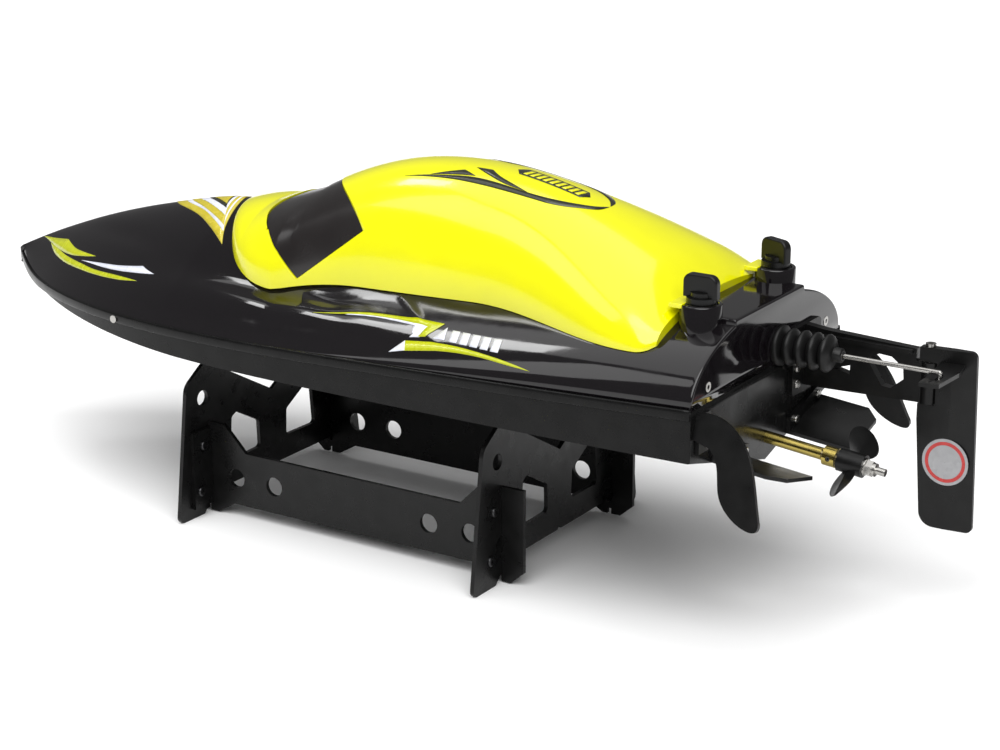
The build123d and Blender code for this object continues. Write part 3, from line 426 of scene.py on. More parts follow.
# Too fine or too closely curved for a bevel.
UNBEVELLED = {
    "stand_screws", "stand_nuts", "deck_screws", "bracket_screws", "fin_screws", "tab_screws",
    "collar_set_screw", "prop_washer", "prop_lock_nut", "propeller_shaft", "propeller", "pushrod",
    "shaft_tube", "drive_collar", "motor_wires", "battery_leads",
}


# ---- mesh helpers --------------------------------------------------------------
def make_object(name, verts, faces, material, body):
    """Mesh object, riding on a CAD body if one is named."""
    mesh = bpy.data.meshes.new(name)
    mesh.from_pydata([tuple(v) for v in verts], [], faces)
    mesh.validate()
    mesh.materials.append(M[material])
    obj = bpy.data.objects.new(name, mesh)
    bpy.context.scene.collection.objects.link(obj)
    if body:
        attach(obj, body)
    return obj


def shade(obj, angle):
    """Smooth faces, with edges above 'angle' degrees marked sharp."""
    bm = bmesh.new()
    bm.from_mesh(obj.data)
    bmesh.ops.recalc_face_normals(bm, faces=bm.faces)
    limit = math.radians(angle)
    for face in bm.faces:
        face.smooth = True
    for edge in bm.edges:
        if len(edge.link_faces) == 2:
            edge.smooth = edge.calc_face_angle(0.0) < limit
    bm.to_mesh(obj.data)
    bm.free()


def solidify(obj, name, thickness):
    """Give an open surface a wall, grown inwards."""
    solid = obj.modifiers.new(name, "SOLIDIFY")
    solid.thickness = thickness
    solid.offset = -1


def edge_bevel(obj, width, segments=2, angle=40.0):
    """Small rounded edges that catch the light."""
    mod = obj.modifiers.new("edges", "BEVEL")
    mod.width = width
    mod.segments = segments
    mod.limit_method = "ANGLE"
    mod.angle_limit = math.radians(angle)
    mod.use_clamp_overlap = True
    mod.harden_normals = False


def apply_modifiers(obj):
    """Turn the modifiers into mesh."""
    bpy.context.view_layer.update()
    graph = bpy.context.evaluated_depsgraph_get()
    mesh = bpy.data.meshes.new_from_object(obj.evaluated_get(graph))
    obj.modifiers.clear()
    obj.data = mesh


def cut(obj, cutter, operation):
    """Boolean with a throw-away cutter."""
    mod = obj.modifiers.new("cut", "BOOLEAN")
    mod.operation = operation
    mod.object = cutter
    mod.solver = "EXACT"
    apply_modifiers(obj)
    bpy.data.objects.remove(cutter)
    return obj


def grid_faces(rows, columns, skip=None):
    """Quads of a grid, leaving out those 'skip' names."""
    faces = []
    for r in range(rows - 1):
        for c in range(columns - 1):
            if skip and skip(r, c):
                continue
            a = r * columns + c
            faces.append((a, a + 1, a + columns + 1, a + columns))
    return faces


def ring_faces(rows, steps):
    """Quads between closed rings of 'steps' points each."""
    faces = []
    for r in range(rows - 1):
        for k in range(steps):
            a, b = r * steps + k, r * steps + (k + 1) % steps
            faces.append((a, b, b + steps, a + steps))
    return faces


def prism(name, outline, place, low, high):
    """Closed prism: 'place' turns an outline point and a height into a 3-D point."""
    n = len(outline)
    verts = [place(p, low) for p in outline] + [place(p, high) for p in outline]
    faces = [tuple(range(n - 1, -1, -1)), tuple(range(n, 2 * n))]
    faces += [(i, (i + 1) % n, n + (i + 1) % n, n + i) for i in range(n)]
    mesh = bpy.data.meshes.new(name)
    mesh.from_pydata(verts, [], faces)
    obj = bpy.data.objects.new(name, mesh)
    bpy.context.scene.collection.objects.link(obj)
    bm = bmesh.new()
    bm.from_mesh(mesh)
    bmesh.ops.recalc_face_normals(bm, faces=bm.faces)
    bm.to_mesh(mesh)
    bm.free()
    return obj


def in_plan(point, height):
    """Outline point (x, y) raised to a height."""
    return (point[0], point[1], height)


def in_side_view(point, distance):
    """Outline point (x, z) moved sideways."""
    return (point[0], distance, point[1])


def spline_point(controls, t):
    """Catmull-Rom point between the middle two of four controls."""
    point = []
    for a, b, c, d in zip(*controls):
        square = 2 * a - 5 * b + 4 * c - d
        cubic = 3 * b - a - 3 * c + d
        point.append(0.5 * (2 * b + (c - a) * t + square * t * t + cubic * t ** 3))
    return tuple(point)


def curve_through(points, steps=8):
    """Smooth curve through the points, ends included."""
    pts = [points[0]] + list(points) + [points[-1]]
    out = []
    for i in range(1, len(pts) - 2):
        for k in range(steps):
            out.append(spline_point(pts[i - 1:i + 3], k / steps))
    out.append(tuple(points[-1]))
    return out


def closed_outline(runs):
    """Outline made of smooth runs that meet at corners."""
    out = []
    for run in runs:
        out += curve_through(run)[:-1]
    return out


def mirrored(points):
    """The same outline on the other side of the boat, in reverse order."""
    return [(x, -y) for x, y in reversed(points)]


def stations(first, last, count, power=1.35, extra=()):
    """Stations from stern to bow, denser towards the bow."""
    xs = [first + (last - first) * (1.0 - (1.0 - i / (count - 1)) ** power) for i in range(count)]
    return sorted(set(xs) | set(extra))


# ---- hull skin -----------------------------------------------------------------
STERN_RADIUS, STERN_STEPS = 0.0012, 5
HULL_STATIONS, BOTTOM_STEPS, BAND_STEPS = 150, 10, 6
HULL_TIP_HALF = 0.0006
CHINE_INSET = 0.4


def stern_edge():
    """(x, inset) of the rows that round off the edge round the transom."""
    rows = []
    for i in range(STERN_STEPS + 1):
        a = math.pi / 2 * i / STERN_STEPS
        rows.append((TRANSOM_X + STERN_RADIUS * (1 - math.cos(a)), STERN_RADIUS * (1 - math.sin(a))))
    return rows


def build_hull():
    """Vee bottom, upright band and transom of the lower hull, as one shell."""
    xs = stations(TRANSOM_X, BOW_X, HULL_STATIONS)
    verts = []
    for x, inset in stern_edge() + [(x, 0.0) for x in xs[1:]]:
        b = max(half_beam(x) - inset, HULL_TIP_HALF)
        keel, chine = keel_z(x) + inset, chine_z(x) + inset * CHINE_INSET
        port = []
        for i in range(BOTTOM_STEPS):
            t = i / BOTTOM_STEPS
            port.append((b * t, keel + (chine - keel) * t))
        for i in range(BAND_STEPS + 1):
            t = i / BAND_STEPS
            port.append((b, chine + (seam_z(x) - GAP - chine) * t))
        ring = [(-y, z) for y, z in reversed(port[1:])] + port
        verts += [Vector((x, y, z)) for y, z in ring]
    columns = 2 * (BOTTOM_STEPS + BAND_STEPS) + 1
    faces = grid_faces(len(verts) // columns, columns)
    faces.append(tuple(range(columns)))
    obj = make_object("hull_skin", verts, faces, "hull", "boat")
    shade(obj, 20)
    solidify(obj, "wall", WALL)
    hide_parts("lower_hull")


# ---- deck skin -----------------------------------------------------------------
DECK_STATIONS = 260
DECK_TIP_HALF = 0.0008
HATCH_X0, HATCH_X1, HATCH_Y = -0.150, 0.050, 0.027
HATCH_COLUMNS, PLATE_COLUMNS, SIDE_COLUMNS = 8, 5, 48
PLATE_EDGE = 0.0009
PLATE_END_STEP = 0.0003
# Near the bow the deck is too narrow for the plate, and its columns keep these shares of the half beam.
HATCH_SHARE, PLATE_SHARE, EDGE_SHARE = 0.30, 0.46, 0.01


def deck_columns(x):
    """Sideways positions across the port half, from the middle out."""
    b = max(half_beam(x), DECK_TIP_HALF)
    inner = min(HATCH_Y, HATCH_SHARE * b)
    plate = min(COCKPIT_HALF, PLATE_SHARE * b)
    edge = min(PLATE_EDGE, EDGE_SHARE * b)
    ys = [inner * i / HATCH_COLUMNS for i in range(HATCH_COLUMNS)]
    ys += [inner + (plate - edge - inner) * i / PLATE_COLUMNS for i in range(PLATE_COLUMNS)]
    ys += [plate - edge, plate - edge * 0.5, plate - edge * 0.15, plate]
    start = plate + edge * 0.2
    ys += [start + (b - start) * i / SIDE_COLUMNS for i in range(SIDE_COLUMNS + 1)]
    return ys


def cockpit_level(x, y, z):
    """Deck height once the raised cockpit plate is cut and added."""
    if x >= COCKPIT_END_X:
        return z
    if abs(y) > COCKPIT_HALF + TINY:
        return min(z, COCKPIT_Z)
    over = max(abs(y) - (COCKPIT_HALF - PLATE_EDGE), 0.0) / PLATE_EDGE
    return COCKPIT_Z - PLATE_EDGE * (1.0 - math.sqrt(max(1.0 - over * over, 0.0)))


def build_deck():
    """Peaked deck with the raised cockpit plate, its hatch opening and the stern face."""
    corners = (COCKPIT_END_X - PLATE_END_STEP, COCKPIT_END_X + PLATE_END_STEP, HATCH_X0, HATCH_X1)
    xs = stations(TRANSOM_X, BOW_X, DECK_STATIONS, extra=corners)
    rows = stern_edge() + [(x, 0.0) for x in xs[1:]]
    verts = []
    for x, inset in rows:
        ys = deck_columns(x)
        wide = 1.0 - inset / HALF_BEAM
        tall = 1.0 - inset / SHOULDER_RISE
        for y in [-y for y in reversed(ys[1:])] + ys:
            z = cockpit_level(x, y, deck_z(x, y))
            verts.append(Vector((x, y * wide, seam_z(x) + (z - seam_z(x)) * tall)))
    columns = 2 * len(deck_columns(0.0)) - 1
    middle = columns // 2

    def in_hatch(r, c):
        inside = HATCH_X0 - TINY <= rows[r][0] and rows[r + 1][0] <= HATCH_X1 + TINY
        return inside and middle - HATCH_COLUMNS <= c < middle + HATCH_COLUMNS

    faces = grid_faces(len(rows), columns, in_hatch)
    faces.append(tuple(range(columns)))
    obj = make_object("deck_skin", verts, faces, "deck", "boat")
    shade(obj, 28)
    solidify(obj, "wall", WALL)
    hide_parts("deck")


# Cross-section of the strip over the joint: distance out from the side, height from the joint.
RUB_PROFILE = [
    (0.0, 0.0012), (0.0009, 0.0009), (0.0013, 0.0002),
    (0.0013, -0.0040), (0.0009, -0.0046), (0.0, -0.0048),
]
RUB_STATIONS, RUB_WALL = 160, 0.0010


def build_rub_strip():
    """Raised strip that wraps the joint between hull and deck, up one side and back down the other."""
    xs = stations(TRANSOM_X, BOW_X, RUB_STATIONS)
    verts = []
    for side, along in ((1, xs), (-1, list(reversed(xs)))):
        for x in along:
            b = half_beam(x)
            verts += [Vector((x, side * (b + out), seam_z(x) + up)) for out, up in RUB_PROFILE]
    obj = make_object("rub_strip", verts, grid_faces(2 * len(xs), len(RUB_PROFILE)), "hull", "boat")
    shade(obj, 50)
    solidify(obj, "wall", RUB_WALL)


# ---- canopy --------------------------------------------------------------------
# The windshield's front and rear edges in plan (x, y), and what is seen of it from the side (x, z).
SHIELD_FRONT = [
    (0.085, 0.0), (0.0866, 0.010), (0.0872, 0.021),
    (0.0856, 0.031), (0.0805, 0.040), (0.0765, 0.0447),
]
SHIELD_REAR = [
    (0.0105, 0.0453), (0.0226, 0.0383), (0.0315, 0.0318), (0.038, 0.026),
    (0.0433, 0.0199), (0.0475, 0.012), (0.050, 0.0),
]
SHIELD_WIDE = 0.064
SHIELD_WIDE_FRONT_X, SHIELD_WIDE_REAR_X = 0.0764, 0.002
SHIELD_SIDE = [
    (0.100, 0.1704), (0.0762, 0.1704), (0.0714, 0.1671), (0.0644, 0.1617), (0.0574, 0.1549),
    (0.0504, 0.1478), (0.0105, 0.1788), (-0.020, 0.2025), (-0.020, 0.240), (0.100, 0.240),
]
SHIELD_SILL_BELOW_Z = 0.21
SHIELD_LOW_Z, SHIELD_HIGH_Z = 0.130, 0.238
SHIELD_SIDE_REACH = 0.08
SHIELD_STEPS = 5
OPENING_GAP = 0.0005
PANE_FIRST_X, PANE_LAST_X = 0.002, 0.100
PANE_INSET, PANE_WALL = 0.0007, 0.0012
NOSE_TRIM = 0.0002
CANOPY_STATIONS, CANOPY_STEPS, CANOPY_SPACING = 150, 96, 1.5


def shield_cutter(name, grow=0.0):
    """Prism over the windshield's plan outline, limited to its outline from the side."""
    front = [(x + grow, y) for x, y in curve_through(SHIELD_FRONT, SHIELD_STEPS)]
    rear = [(x - grow, y) for x, y in curve_through(SHIELD_REAR, SHIELD_STEPS)]
    corners = [(SHIELD_WIDE_FRONT_X + grow, SHIELD_WIDE), (SHIELD_WIDE_REAR_X, SHIELD_WIDE)]
    half = front + corners + rear
    plan = prism(name, half + mirrored(half[1:-1]), in_plan, SHIELD_LOW_Z, SHIELD_HIGH_Z)
    side = [(x, z - (grow if z < SHIELD_SILL_BELOW_Z else 0.0)) for x, z in SHIELD_SIDE]
    limit = prism(name + "_side", side, in_side_view, -SHIELD_SIDE_REACH, SHIELD_SIDE_REACH)
    return cut(plan, limit, "INTERSECT")


def canopy_shell(name, material, first, last, inset, wall):
    """The canopy's skin between two stations, as an open-bottomed shell."""
    xs = stations(first, last, CANOPY_STATIONS, CANOPY_SPACING)
    verts = []
    for x in xs:
        verts += [canopy_point(x, math.pi * i / CANOPY_STEPS) for i in range(CANOPY_STEPS + 1)]
    faces = grid_faces(len(xs), CANOPY_STEPS + 1)
    if first <= CANOPY_TAIL_X:
        faces.append(tuple(range(CANOPY_STEPS + 1)))
    obj = make_object(name, verts, faces, material, "canopy_shell")
    shade(obj, 50)
    if inset:
        shrink = obj.modifiers.new("inset", "DISPLACE")
        shrink.strength = -inset
        shrink.mid_level = 0.0
    solidify(obj, "wall", wall)
    apply_modifiers(obj)
    return obj


def build_canopy():
    """Yellow shell with the windshield opening, and the smoked pane in it."""
    shell = canopy_shell("canopy_skin", "yellow", CANOPY_TAIL_X, CANOPY_NOSE_X - NOSE_TRIM, 0.0, CANOPY_WALL)
    cut(shell, shield_cutter("opening", OPENING_GAP), "DIFFERENCE")
    shade(shell, 40)
    edge_bevel(shell, 0.0006, 2, 45)
    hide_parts("canopy")
    pane = canopy_shell("windshield_pane", "smoked", PANE_FIRST_X, PANE_LAST_X, PANE_INSET, PANE_WALL)
    cut(pane, shield_cutter("pane_outline"), "INTERSECT")
    shade(pane, 40)
    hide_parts("windshield")


# ---- flat graphics -------------------------------------------------------------
# Stickers are outlines in plan, laid on the deck or the roof.  Each is made of smooth runs of (x, y)
# that meet at corners, listed for the port side.
FILM, FILM_LIFT, FILM_STEP = 0.0002, 0.00025, 0.00012
FILM_EDGE, FILM_PASSES = 0.0035, 5

BOW_STICKERS = {
    "bow_flash": ("vinyl_yellow", 0, [
        [(0.2883, 0.0014), (0.2719, 0.0089), (0.2541, 0.0159)],
        [(0.2541, 0.0159), (0.2374, 0.0268), (0.2130, 0.0372)],
        [(0.2130, 0.0372), (0.2240, 0.0346), (0.2405, 0.0292), (0.2606, 0.0190), (0.2883, 0.0014)],
    ]),
    "bow_swoosh": ("vinyl_yellow", 0, [
        [(0.2729, 0.0116), (0.2589, 0.0200), (0.2434, 0.0291), (0.2233, 0.0388), (0.2011, 0.0478),
         (0.1621, 0.0591)],
        [(0.1621, 0.0591), (0.1785, 0.0563), (0.1993, 0.0506), (0.2204, 0.0428), (0.2425, 0.0327),
         (0.2605, 0.0218), (0.2729, 0.0116)],
    ]),
    "bow_white": ("vinyl_white", 0, [
        [(0.2257, 0.0364), (0.2099, 0.0412), (0.1894, 0.0466), (0.1748, 0.0491), (0.1649, 0.0501)],
        [(0.1649, 0.0501), (0.1597, 0.0527), (0.1517, 0.0560)],
        [(0.1517, 0.0560), (0.1644, 0.0544), (0.1831, 0.0507), (0.2021, 0.0452), (0.2257, 0.0364)],
    ]),
}
SIDE_STICKERS = {
    "side_upper_white": ("vinyl_white", 0, [
        [(0.007, 0.0682), (-0.011, 0.0675), (-0.027, 0.0684), (-0.044, 0.0703)],
        [(-0.044, 0.0703), (-0.0404, 0.0766)],
        [(-0.0404, 0.0766), (-0.0465, 0.0761)],
        [(-0.0465, 0.0761), (-0.0488, 0.0690), (-0.027, 0.0665), (0.007, 0.0668)],
    ]),
    "side_upper": ("vinyl_yellow", 1, [
        [(0.028, 0.0703), (0.008, 0.0668), (-0.009, 0.0649), (-0.0255, 0.0649), (-0.041, 0.0654),
         (-0.0566, 0.0668)],
        [(-0.0566, 0.0668), (-0.0500, 0.0758)],
        [(-0.0500, 0.0758), (-0.0455, 0.0760)],
        [(-0.0455, 0.0760), (-0.0478, 0.0698)],
        [(-0.0478, 0.0698), (-0.026, 0.0672), (0.000, 0.0672), (0.028, 0.0703)],
    ]),
    "side_lower_tip": ("vinyl_white", 1, [
        [(-0.0392, 0.0786), (-0.0328, 0.0848)],
        [(-0.0328, 0.0848), (-0.0420, 0.0834)],
        [(-0.0420, 0.0834), (-0.0392, 0.0786)],
    ]),
    "side_lower": ("vinyl_yellow", 0, [
        [(-0.0392, 0.0786), (-0.0547, 0.0782), (-0.072, 0.0791), (-0.0944, 0.0821), (-0.121, 0.0862)],
        [(-0.121, 0.0862), (-0.1064, 0.0851), (-0.0847, 0.0828), (-0.0636, 0.0821), (-0.0370, 0.0838)],
        [(-0.0370, 0.0838), (-0.0392, 0.0786)],
    ]),
    "side_flag": ("vinyl_white", 0, [
        [(-0.0598, 0.0688), (-0.0550, 0.0762)],
        [(-0.0550, 0.0762), (-0.0625, 0.0764)],
        [(-0.0625, 0.0764), (-0.0598, 0.0688)],
    ]),
}
ROOF_STICKERS = {
    "roof_spear": ("vinyl_black", 0, [
        [(-0.0179, 0.0220), (-0.0357, 0.0150)],
        [(-0.0357, 0.0150), (-0.0446, 0.0185)],
        [(-0.0446, 0.0185), (-0.030, 0.0205), (-0.0179, 0.0220)],
    ]),
    "roof_lower_stroke": ("vinyl_black", 0, [
        [(-0.0025, 0.0240), (-0.0273, 0.0215), (-0.0484, 0.0195), (-0.081, 0.0195), (-0.0985, 0.0160),
         (-0.1110, 0.0090), (-0.1170, 0.0005)],
        [(-0.1170, 0.0005), (-0.1150, 0.0095), (-0.1050, 0.0175), (-0.095, 0.0215), (-0.0823, 0.0228),
         (-0.0508, 0.0236), (-0.0284, 0.0236), (-0.0025, 0.0240)],
    ]),
    "roof_upper_stroke": ("vinyl_black", 0, [
        [(-0.0405, 0.0105), (-0.0500, 0.0095)],
        [(-0.0500, 0.0095), (-0.0590, 0.0145), (-0.0775, 0.0195)],
        [(-0.0775, 0.0195), (-0.0620, 0.0185), (-0.0490, 0.0145), (-0.0405, 0.0105)],
    ]),
}

# Layers of the pointed badge in front of the canopy, from the lowest film up: its share of full size.
CHEVRON_LAYERS = [
    ("chevron_border", 1.0, "vinyl_gold"),
    ("chevron_line", 0.80, "vinyl_white"),
    ("chevron_field", 0.70, "vinyl_gold"),
    ("chevron_white_vee", 0.52, "vinyl_white"),
    ("chevron_black_vee", 0.36, "vinyl_black"),
    ("chevron_centre", 0.26, "vinyl_gold"),
]
CHEVRON_OUTER = [(0.1800, 0.0), (0.1714, 0.0066), (0.1480, 0.0184), (0.1305, 0.0290), (0.1151, 0.0384)]
CHEVRON_INNER = [(0.1151, 0.0384), (0.1208, 0.0282), (0.1245, 0.0150), (0.1268, 0.0)]
CHEVRON_MIDDLE_X = 0.1400

# Plain bars that stand in for lettering: the first bar's corners, and how each next one shifts.
SIDE_BARS, SIDE_BAR_X, SIDE_BAR_PITCH = 5, -0.0640, 0.0068
SIDE_BAR_WIDTH, SIDE_BAR_SLANT, SIDE_BAR_RISE = 0.0050, 0.0016, 0.0004
SIDE_BAR_UPPER, SIDE_BAR_UPPER_STEP = 0.0703, 0.0006
SIDE_BAR_LOWER, SIDE_BAR_LOWER_STEP = 0.0770, 0.0007
ROOF_BARS, ROOF_BAR_X, ROOF_BAR_PITCH = 9, -0.0655, 0.0040
ROOF_BAR_WIDTH, ROOF_BAR_SLANT, ROOF_BAR_HALF, ROOF_BAR_LIFT = 0.0024, 0.0012, 0.0040, 0.00040
ROOF_PLATE_FRONT = [(-0.0600, 0.0), (-0.0640, 0.0055)]
ROOF_PLATE_REAR = [(-0.1015, 0.0055), (-0.1050, 0.0)]


def film_sheet(name, outline, height, lift):
    """Flat outline cut into small triangles and laid on the surface 'height(x, y)'."""
    bm = bmesh.new()
    bm.faces.new([bm.verts.new((x, y, 0.0)) for x, y in outline])
    bmesh.ops.triangulate(bm, faces=bm.faces[:])
    for _ in range(FILM_PASSES):
        long_edges = [e for e in bm.edges if e.calc_length() > FILM_EDGE]
        if not long_edges:
            break
        bmesh.ops.subdivide_edges(bm, edges=long_edges, cuts=1)
        bmesh.ops.triangulate(bm, faces=bm.faces[:])
    for v in bm.verts:
        v.co.z = height(v.co.x, v.co.y) + lift
    mesh = bpy.data.meshes.new(name)
    bm.to_mesh(mesh)
    bm.free()
    return mesh


def decal(name, outline, height, material, body, lift=FILM_LIFT):
    """Thin sticker on the deck or the canopy."""
    mesh = film_sheet(name, outline, height, lift)
    mesh.materials.append(M[material])
    obj = bpy.data.objects.new(name, mesh)
    bpy.context.scene.collection.objects.link(obj)
    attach(obj, body)
    shade(obj, 60)
    solidify(obj, "film", FILM)


def both_sides(name, outline, height, material, body, lift=FILM_LIFT):
    """The same sticker to port and, mirrored, to starboard."""
    decal(name + "_port", outline, height, material, body, lift)
    decal(name + "_starboard", mirrored(outline), height, material, body, lift)


def sticker_set(stickers, height, body):
    """All stickers of a table, on both sides."""
    for name, (material, layer, runs) in stickers.items():
        both_sides(name, closed_outline(runs), height, material, body, FILM_LIFT + layer * FILM_STEP)


def chevron():
    """Pointed badge in front of the canopy: layers scaled about a point between its wings."""
    port = curve_through(CHEVRON_OUTER)[:-1] + curve_through(CHEVRON_INNER)
    outline = port + mirrored(port[1:-1])
    for layer, (name, size, material) in enumerate(CHEVRON_LAYERS):
        scaled = [(CHEVRON_MIDDLE_X + (x - CHEVRON_MIDDLE_X) * size, y * size) for x, y in outline]
        decal(name, scaled, deck_z, material, "boat", FILM_LIFT + layer * FILM_STEP)


def side_bars():
    """White slanted bars that stand in for the name on the deck's sides."""
    for i in range(SIDE_BARS):
        x = SIDE_BAR_X - SIDE_BAR_PITCH * i
        upper = SIDE_BAR_UPPER + SIDE_BAR_UPPER_STEP * i
        lower = SIDE_BAR_LOWER + SIDE_BAR_LOWER_STEP * i
        both_sides(f"side_bar_{i}", [
            (x, upper),
            (x - SIDE_BAR_WIDTH, upper + SIDE_BAR_RISE),
            (x - SIDE_BAR_WIDTH - SIDE_BAR_SLANT, lower + SIDE_BAR_RISE),
            (x - SIDE_BAR_SLANT, lower),
        ], deck_z, "vinyl_white", "boat")


def roof_badge():
    """Black plate on the roof, with yellow bars that stand in for its lettering."""
    half = ROOF_PLATE_FRONT + ROOF_PLATE_REAR
    decal("roof_plate", half + mirrored(half[1:-1]), canopy_z, "vinyl_black", "canopy_shell")
    for i in range(ROOF_BARS):
        x = ROOF_BAR_X - ROOF_BAR_PITCH * i
        decal(f"roof_bar_{i}", [
            (x, ROOF_BAR_HALF),
            (x - ROOF_BAR_WIDTH, ROOF_BAR_HALF),
            (x - ROOF_BAR_WIDTH - ROOF_BAR_SLANT, -ROOF_BAR_HALF),
            (x - ROOF_BAR_SLANT, -ROOF_BAR_HALF),
        ], canopy_z, "yellow", "canopy_shell", ROOF_BAR_LIFT)


# ---- stern boot, knob drums, ears and rudder badge -----------------------------
BOOT_LOBES, BOOT_LOBE_STEPS, BOOT_STEPS = 4, 12, 48
BOOT_FIRST_X, BOOT_LAST_X = TRANSOM_X - 0.0035, -0.243
BOOT_VALLEY, BOOT_LOBE, BOOT_LOBE_POWER = 0.0056, 0.0044, 0.8
BOOT_WALL = 0.0006
# (distance from the transom, radius) and (distance from the last lobe, radius).
BOOT_FLANGE = [(0.0005, 0.0108), (-0.0018, 0.0108), (-0.0024, 0.0102), (-0.0026, 0.0075)]
BOOT_NOSE = [(0.0, 0.0056), (-0.0004, 0.0040), (-0.0044, 0.0038), (-0.0050, 0.0032), (-0.0050, 0.0014)]


def build_boot():
    """Four-lobed rubber boot round the pushrod, not attached to any body."""
    pitch = (BOOT_LAST_X - BOOT_FIRST_X) / BOOT_LOBES
    profile = [(TRANSOM_X + x, r) for x, r in BOOT_FLANGE]
    for i in range(BOOT_LOBES):
        for k in range(BOOT_LOBE_STEPS):
            t = k / BOOT_LOBE_STEPS
            r = BOOT_VALLEY + BOOT_LOBE * math.sin(math.pi * t) ** BOOT_LOBE_POWER
            profile.append((BOOT_FIRST_X + (i + t) * pitch, r))
    profile += [(BOOT_LAST_X + x, r) for x, r in BOOT_NOSE]
    verts = []
    for x, r in profile:
        for k in range(BOOT_STEPS):
            a = 2 * math.pi * k / BOOT_STEPS
            verts.append(Vector((x, PUSHROD_Y + r * math.cos(a), PUSHROD_Z + r * math.sin(a))))
    obj = make_object("boot", verts, ring_faces(len(profile), BOOT_STEPS), "rubber", None)
    shade(obj, 50)
    solidify(obj, "wall", BOOT_WALL)
    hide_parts("pushrod_bellows")
    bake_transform(obj)


BOSS_STEPS = 64
BOSS_RIM_Z = BOSS_TOP_Z + 0.0030
# (radius, height) from the outer foot over the rim to the screw's hole.
BOSS_PROFILE = [
    (0.0108, 0.145), (0.0108, BOSS_RIM_Z - 0.0006), (0.0105, BOSS_RIM_Z - 0.0002),
    (0.0101, BOSS_RIM_Z), (0.0091, BOSS_RIM_Z), (0.0087, BOSS_RIM_Z - 0.0004),
    (0.0087, BOSS_TOP_Z), (0.0023, BOSS_TOP_Z), (0.0023, 0.150),
]
BOSS_NOTCH_HALF = 0.0086


def build_bosses():
    """Drums on the deck under the thumb screws, their rims notched in front for the canopy's ears."""
    for side, label in ((1, "port"), (-1, "starboard")):
        verts = []
        for r, z in BOSS_PROFILE:
            for k in range(BOSS_STEPS):
                a = 2 * math.pi * k / BOSS_STEPS
                notched = math.cos(a) * r > 0.0 and r * abs(math.sin(a)) < BOSS_NOTCH_HALF
                level = min(z, BOSS_TOP_Z) if notched else z
                verts.append(Vector((KNOB_X + r * math.cos(a), side * KNOB_Y + r * math.sin(a), level)))
        faces = ring_faces(len(BOSS_PROFILE), BOSS_STEPS)
        obj = make_object(f"knob_boss_{label}", verts, faces, "deck", "boat")
        shade(obj, 40)


EAR_LOW_Z, EAR_THICK = BOSS_TOP_Z + GAP, 0.0024
EAR_RADIUS, EAR_STEPS = 0.0081, 32
EAR_WAIST_X, EAR_ROOT_X = -0.1872, -0.1795


def build_ears():
    """Flat canopy ears under the thumb screws: a yellow arm and a round end coloured black."""
    reach = math.asin((EAR_WAIST_X - KNOB_X) / EAR_RADIUS)
    for side, label in ((1, "port"), (-1, "starboard")):
        y = side * KNOB_Y
        end = []
        for k in range(EAR_STEPS + 1):
            a = math.pi / 2 - reach + (math.pi + 2 * reach) * k / EAR_STEPS
            end.append((KNOB_X + EAR_RADIUS * math.cos(a), y + EAR_RADIUS * math.sin(a)))
        arm = [
            (EAR_ROOT_X, y + EAR_RADIUS), (EAR_WAIST_X, y + EAR_RADIUS),
            (EAR_WAIST_X, y - EAR_RADIUS), (EAR_ROOT_X, y - EAR_RADIUS),
        ]
        for part, outline, material in (("end", end, "nylon"), ("arm", arm, "yellow")):
            obj = prism(f"canopy_ear_{part}_{label}", outline, in_plan, EAR_LOW_Z, EAR_LOW_Z + EAR_THICK)
            obj.data.materials.append(M[material])
            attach(obj, "canopy_shell")
            shade(obj, 40)
            edge_bevel(obj, 0.0004)


BADGE_X, BADGE_Z, BADGE_STEPS = -0.2964, 0.0795, 64
BADGE_FILM = 0.0001
RUDDER_Y, RUDDER_HALF, BADGE_GAP = -0.040, 0.0025, 0.00022
# Name, outer and inner radius, material, lift above the blade.
BADGE_RINGS = (
    ("disc", 0.0126, 0.0001, "vinyl_silver", 0.0),
    ("ring", 0.0110, 0.0092, "vinyl_red", 0.0001),
)


def build_rudder_badge():
    """Plain round badge on each face of the rudder blade."""
    for side, label in ((1, "port"), (-1, "starboard")):
        for ring_name, outer, inner, material, lift in BADGE_RINGS:
            y = RUDDER_Y + side * (RUDDER_HALF + BADGE_GAP + lift)
            verts = []
            for r in (outer, inner):
                for k in range(BADGE_STEPS):
                    a = 2 * math.pi * k / BADGE_STEPS
                    verts.append((BADGE_X + r * math.cos(a), y, BADGE_Z + r * math.sin(a)))
            faces = ring_faces(2, BADGE_STEPS)
            obj = make_object(f"rudder_badge_{ring_name}_{label}", verts, faces, material, "rudder")
            solidify(obj, "film", BADGE_FILM)


# ---- build everything ----------------------------------------------------------
for key, names in MATERIAL_NODES.items():
    for name in names:
        node = NODES[name]
        node.data.materials.clear()
        node.data.materials.append(M[key])
        if name not in UNBEVELLED:
            edge_bevel(node, 0.0004)

build_hull()
build_deck()
build_rub_strip()
build_canopy()
build_bosses()
build_ears()
build_boot()
sticker_set(BOW_STICKERS, deck_z, "boat")
chevron()
sticker_set(SIDE_STICKERS, deck_z, "boat")
side_bars()
sticker_set(ROOF_STICKERS, canopy_z, "canopy_shell")
roof_badge()
build_rudder_badge()


# ---- stage, light and camera ---------------------------------------------------
FLOOR_HALF = 40.0
WORLD_STRENGTH = 0.20
SUN_ENERGY, SUN_ANGLE, SUN_DIRECTION = 3.1, math.radians(60), Vector((0.30, -0.50, -0.81))
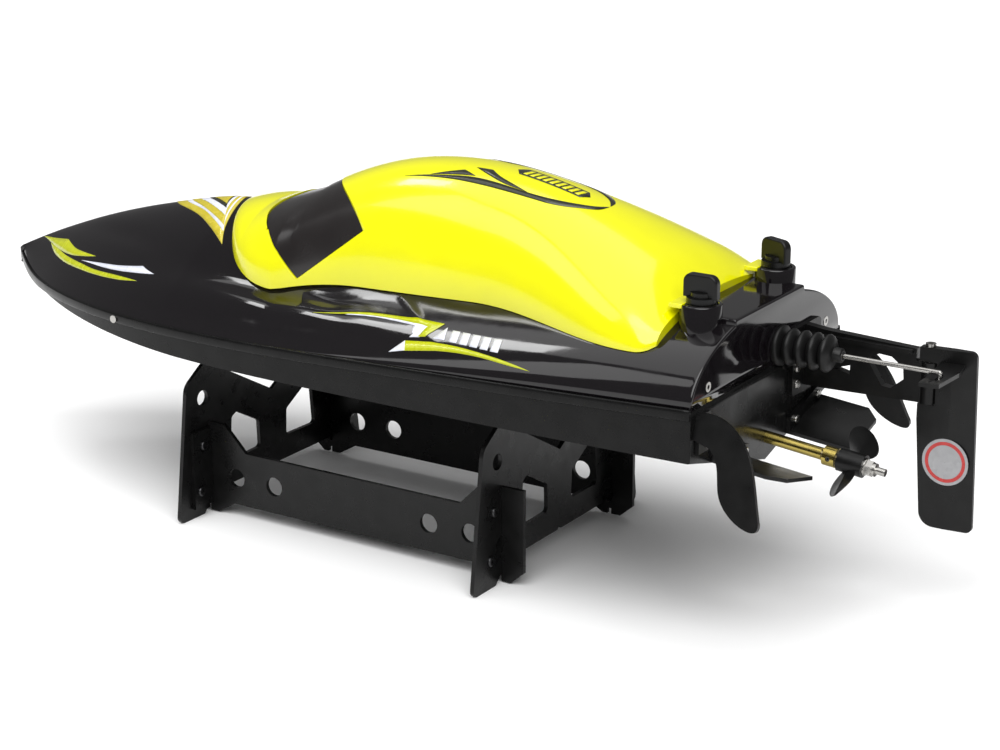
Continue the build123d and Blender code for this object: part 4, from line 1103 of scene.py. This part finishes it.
# Name, place, point it faces, size, energy.
SOFT_BOXES = (
    ("fender_box", (0.88, -0.08, 1.39), (0.02, 0.06, 0.155), (0.24, 0.26), 1.7),
    ("ceiling", (0.3, -0.4, 3.0), (0, 0, 0), (3.0, 3.0), 34),
    ("side_box", (0.67, 0.70, 1.30), (-0.10, 0.07, 0.15), (0.60, 0.60), 2.2),
)
CAMERA_PLACE = (-0.7073, 1.0360, 0.4872)
CAMERA_YAW, CAMERA_PITCH = math.radians(-57.54), math.radians(-17.75)
CAMERA_LENS, CAMERA_SENSOR = 83.6, 36.0


def place_facing(name, data, location, direction):
    """Light or camera at a place, looking along a direction."""
    obj = bpy.data.objects.new(name, data)
    obj.location = location
    obj.rotation_euler = direction.to_track_quat("-Z", "Y").to_euler()
    bpy.context.scene.collection.objects.link(obj)
    return obj


def build_floor():
    """Wide pale floor."""
    h = FLOOR_HALF
    mesh = bpy.data.meshes.new("floor")
    mesh.from_pydata([(-h, -h, 0), (h, -h, 0), (h, h, 0), (-h, h, 0)], [], [(0, 1, 2, 3)])
    paper = new_material("floor_paper", (0.95, 0.95, 0.95), 0.8, specular=0.0)
    tint(paper, (0.94, 0.94, 0.94), (0.96, 0.96, 0.96), 3)
    mesh.materials.append(paper)
    floor = bpy.data.objects.new("floor", mesh)
    bpy.context.scene.collection.objects.link(floor)


def build_lights():
    """White surroundings, a very soft sun and three soft boxes."""
    world = bpy.data.worlds.new("studio")
    world.use_nodes = True
    background = world.node_tree.nodes["Background"]
    background.inputs["Color"].default_value = (1.0, 1.0, 1.0, 1.0)
    background.inputs["Strength"].default_value = WORLD_STRENGTH
    bpy.context.scene.world = world
    sun = bpy.data.lights.new("sun", "SUN")
    sun.energy = SUN_ENERGY
    sun.angle = SUN_ANGLE
    place_facing("sun", sun, (0, 0, 0), SUN_DIRECTION)
    for name, location, target, (width, depth), energy in SOFT_BOXES:
        light = bpy.data.lights.new(name, "AREA")
        light.shape = "RECTANGLE"
        light.size = width
        light.size_y = depth
        light.energy = energy
        place_facing(name, light, location, Vector(target) - Vector(location))


def build_camera():
    """Camera at the photograph's angle."""
    camera = bpy.data.cameras.new("camera")
    camera.lens = CAMERA_LENS
    camera.sensor_width = CAMERA_SENSOR
    level = math.cos(CAMERA_PITCH)
    look = Vector((math.cos(CAMERA_YAW) * level, math.sin(CAMERA_YAW) * level, math.sin(CAMERA_PITCH)))
    bpy.context.scene.camera = place_facing("camera", camera, CAMERA_PLACE, look)
    bpy.context.scene.view_settings.view_transform = "Standard"


build_floor()
build_lights()
build_camera()
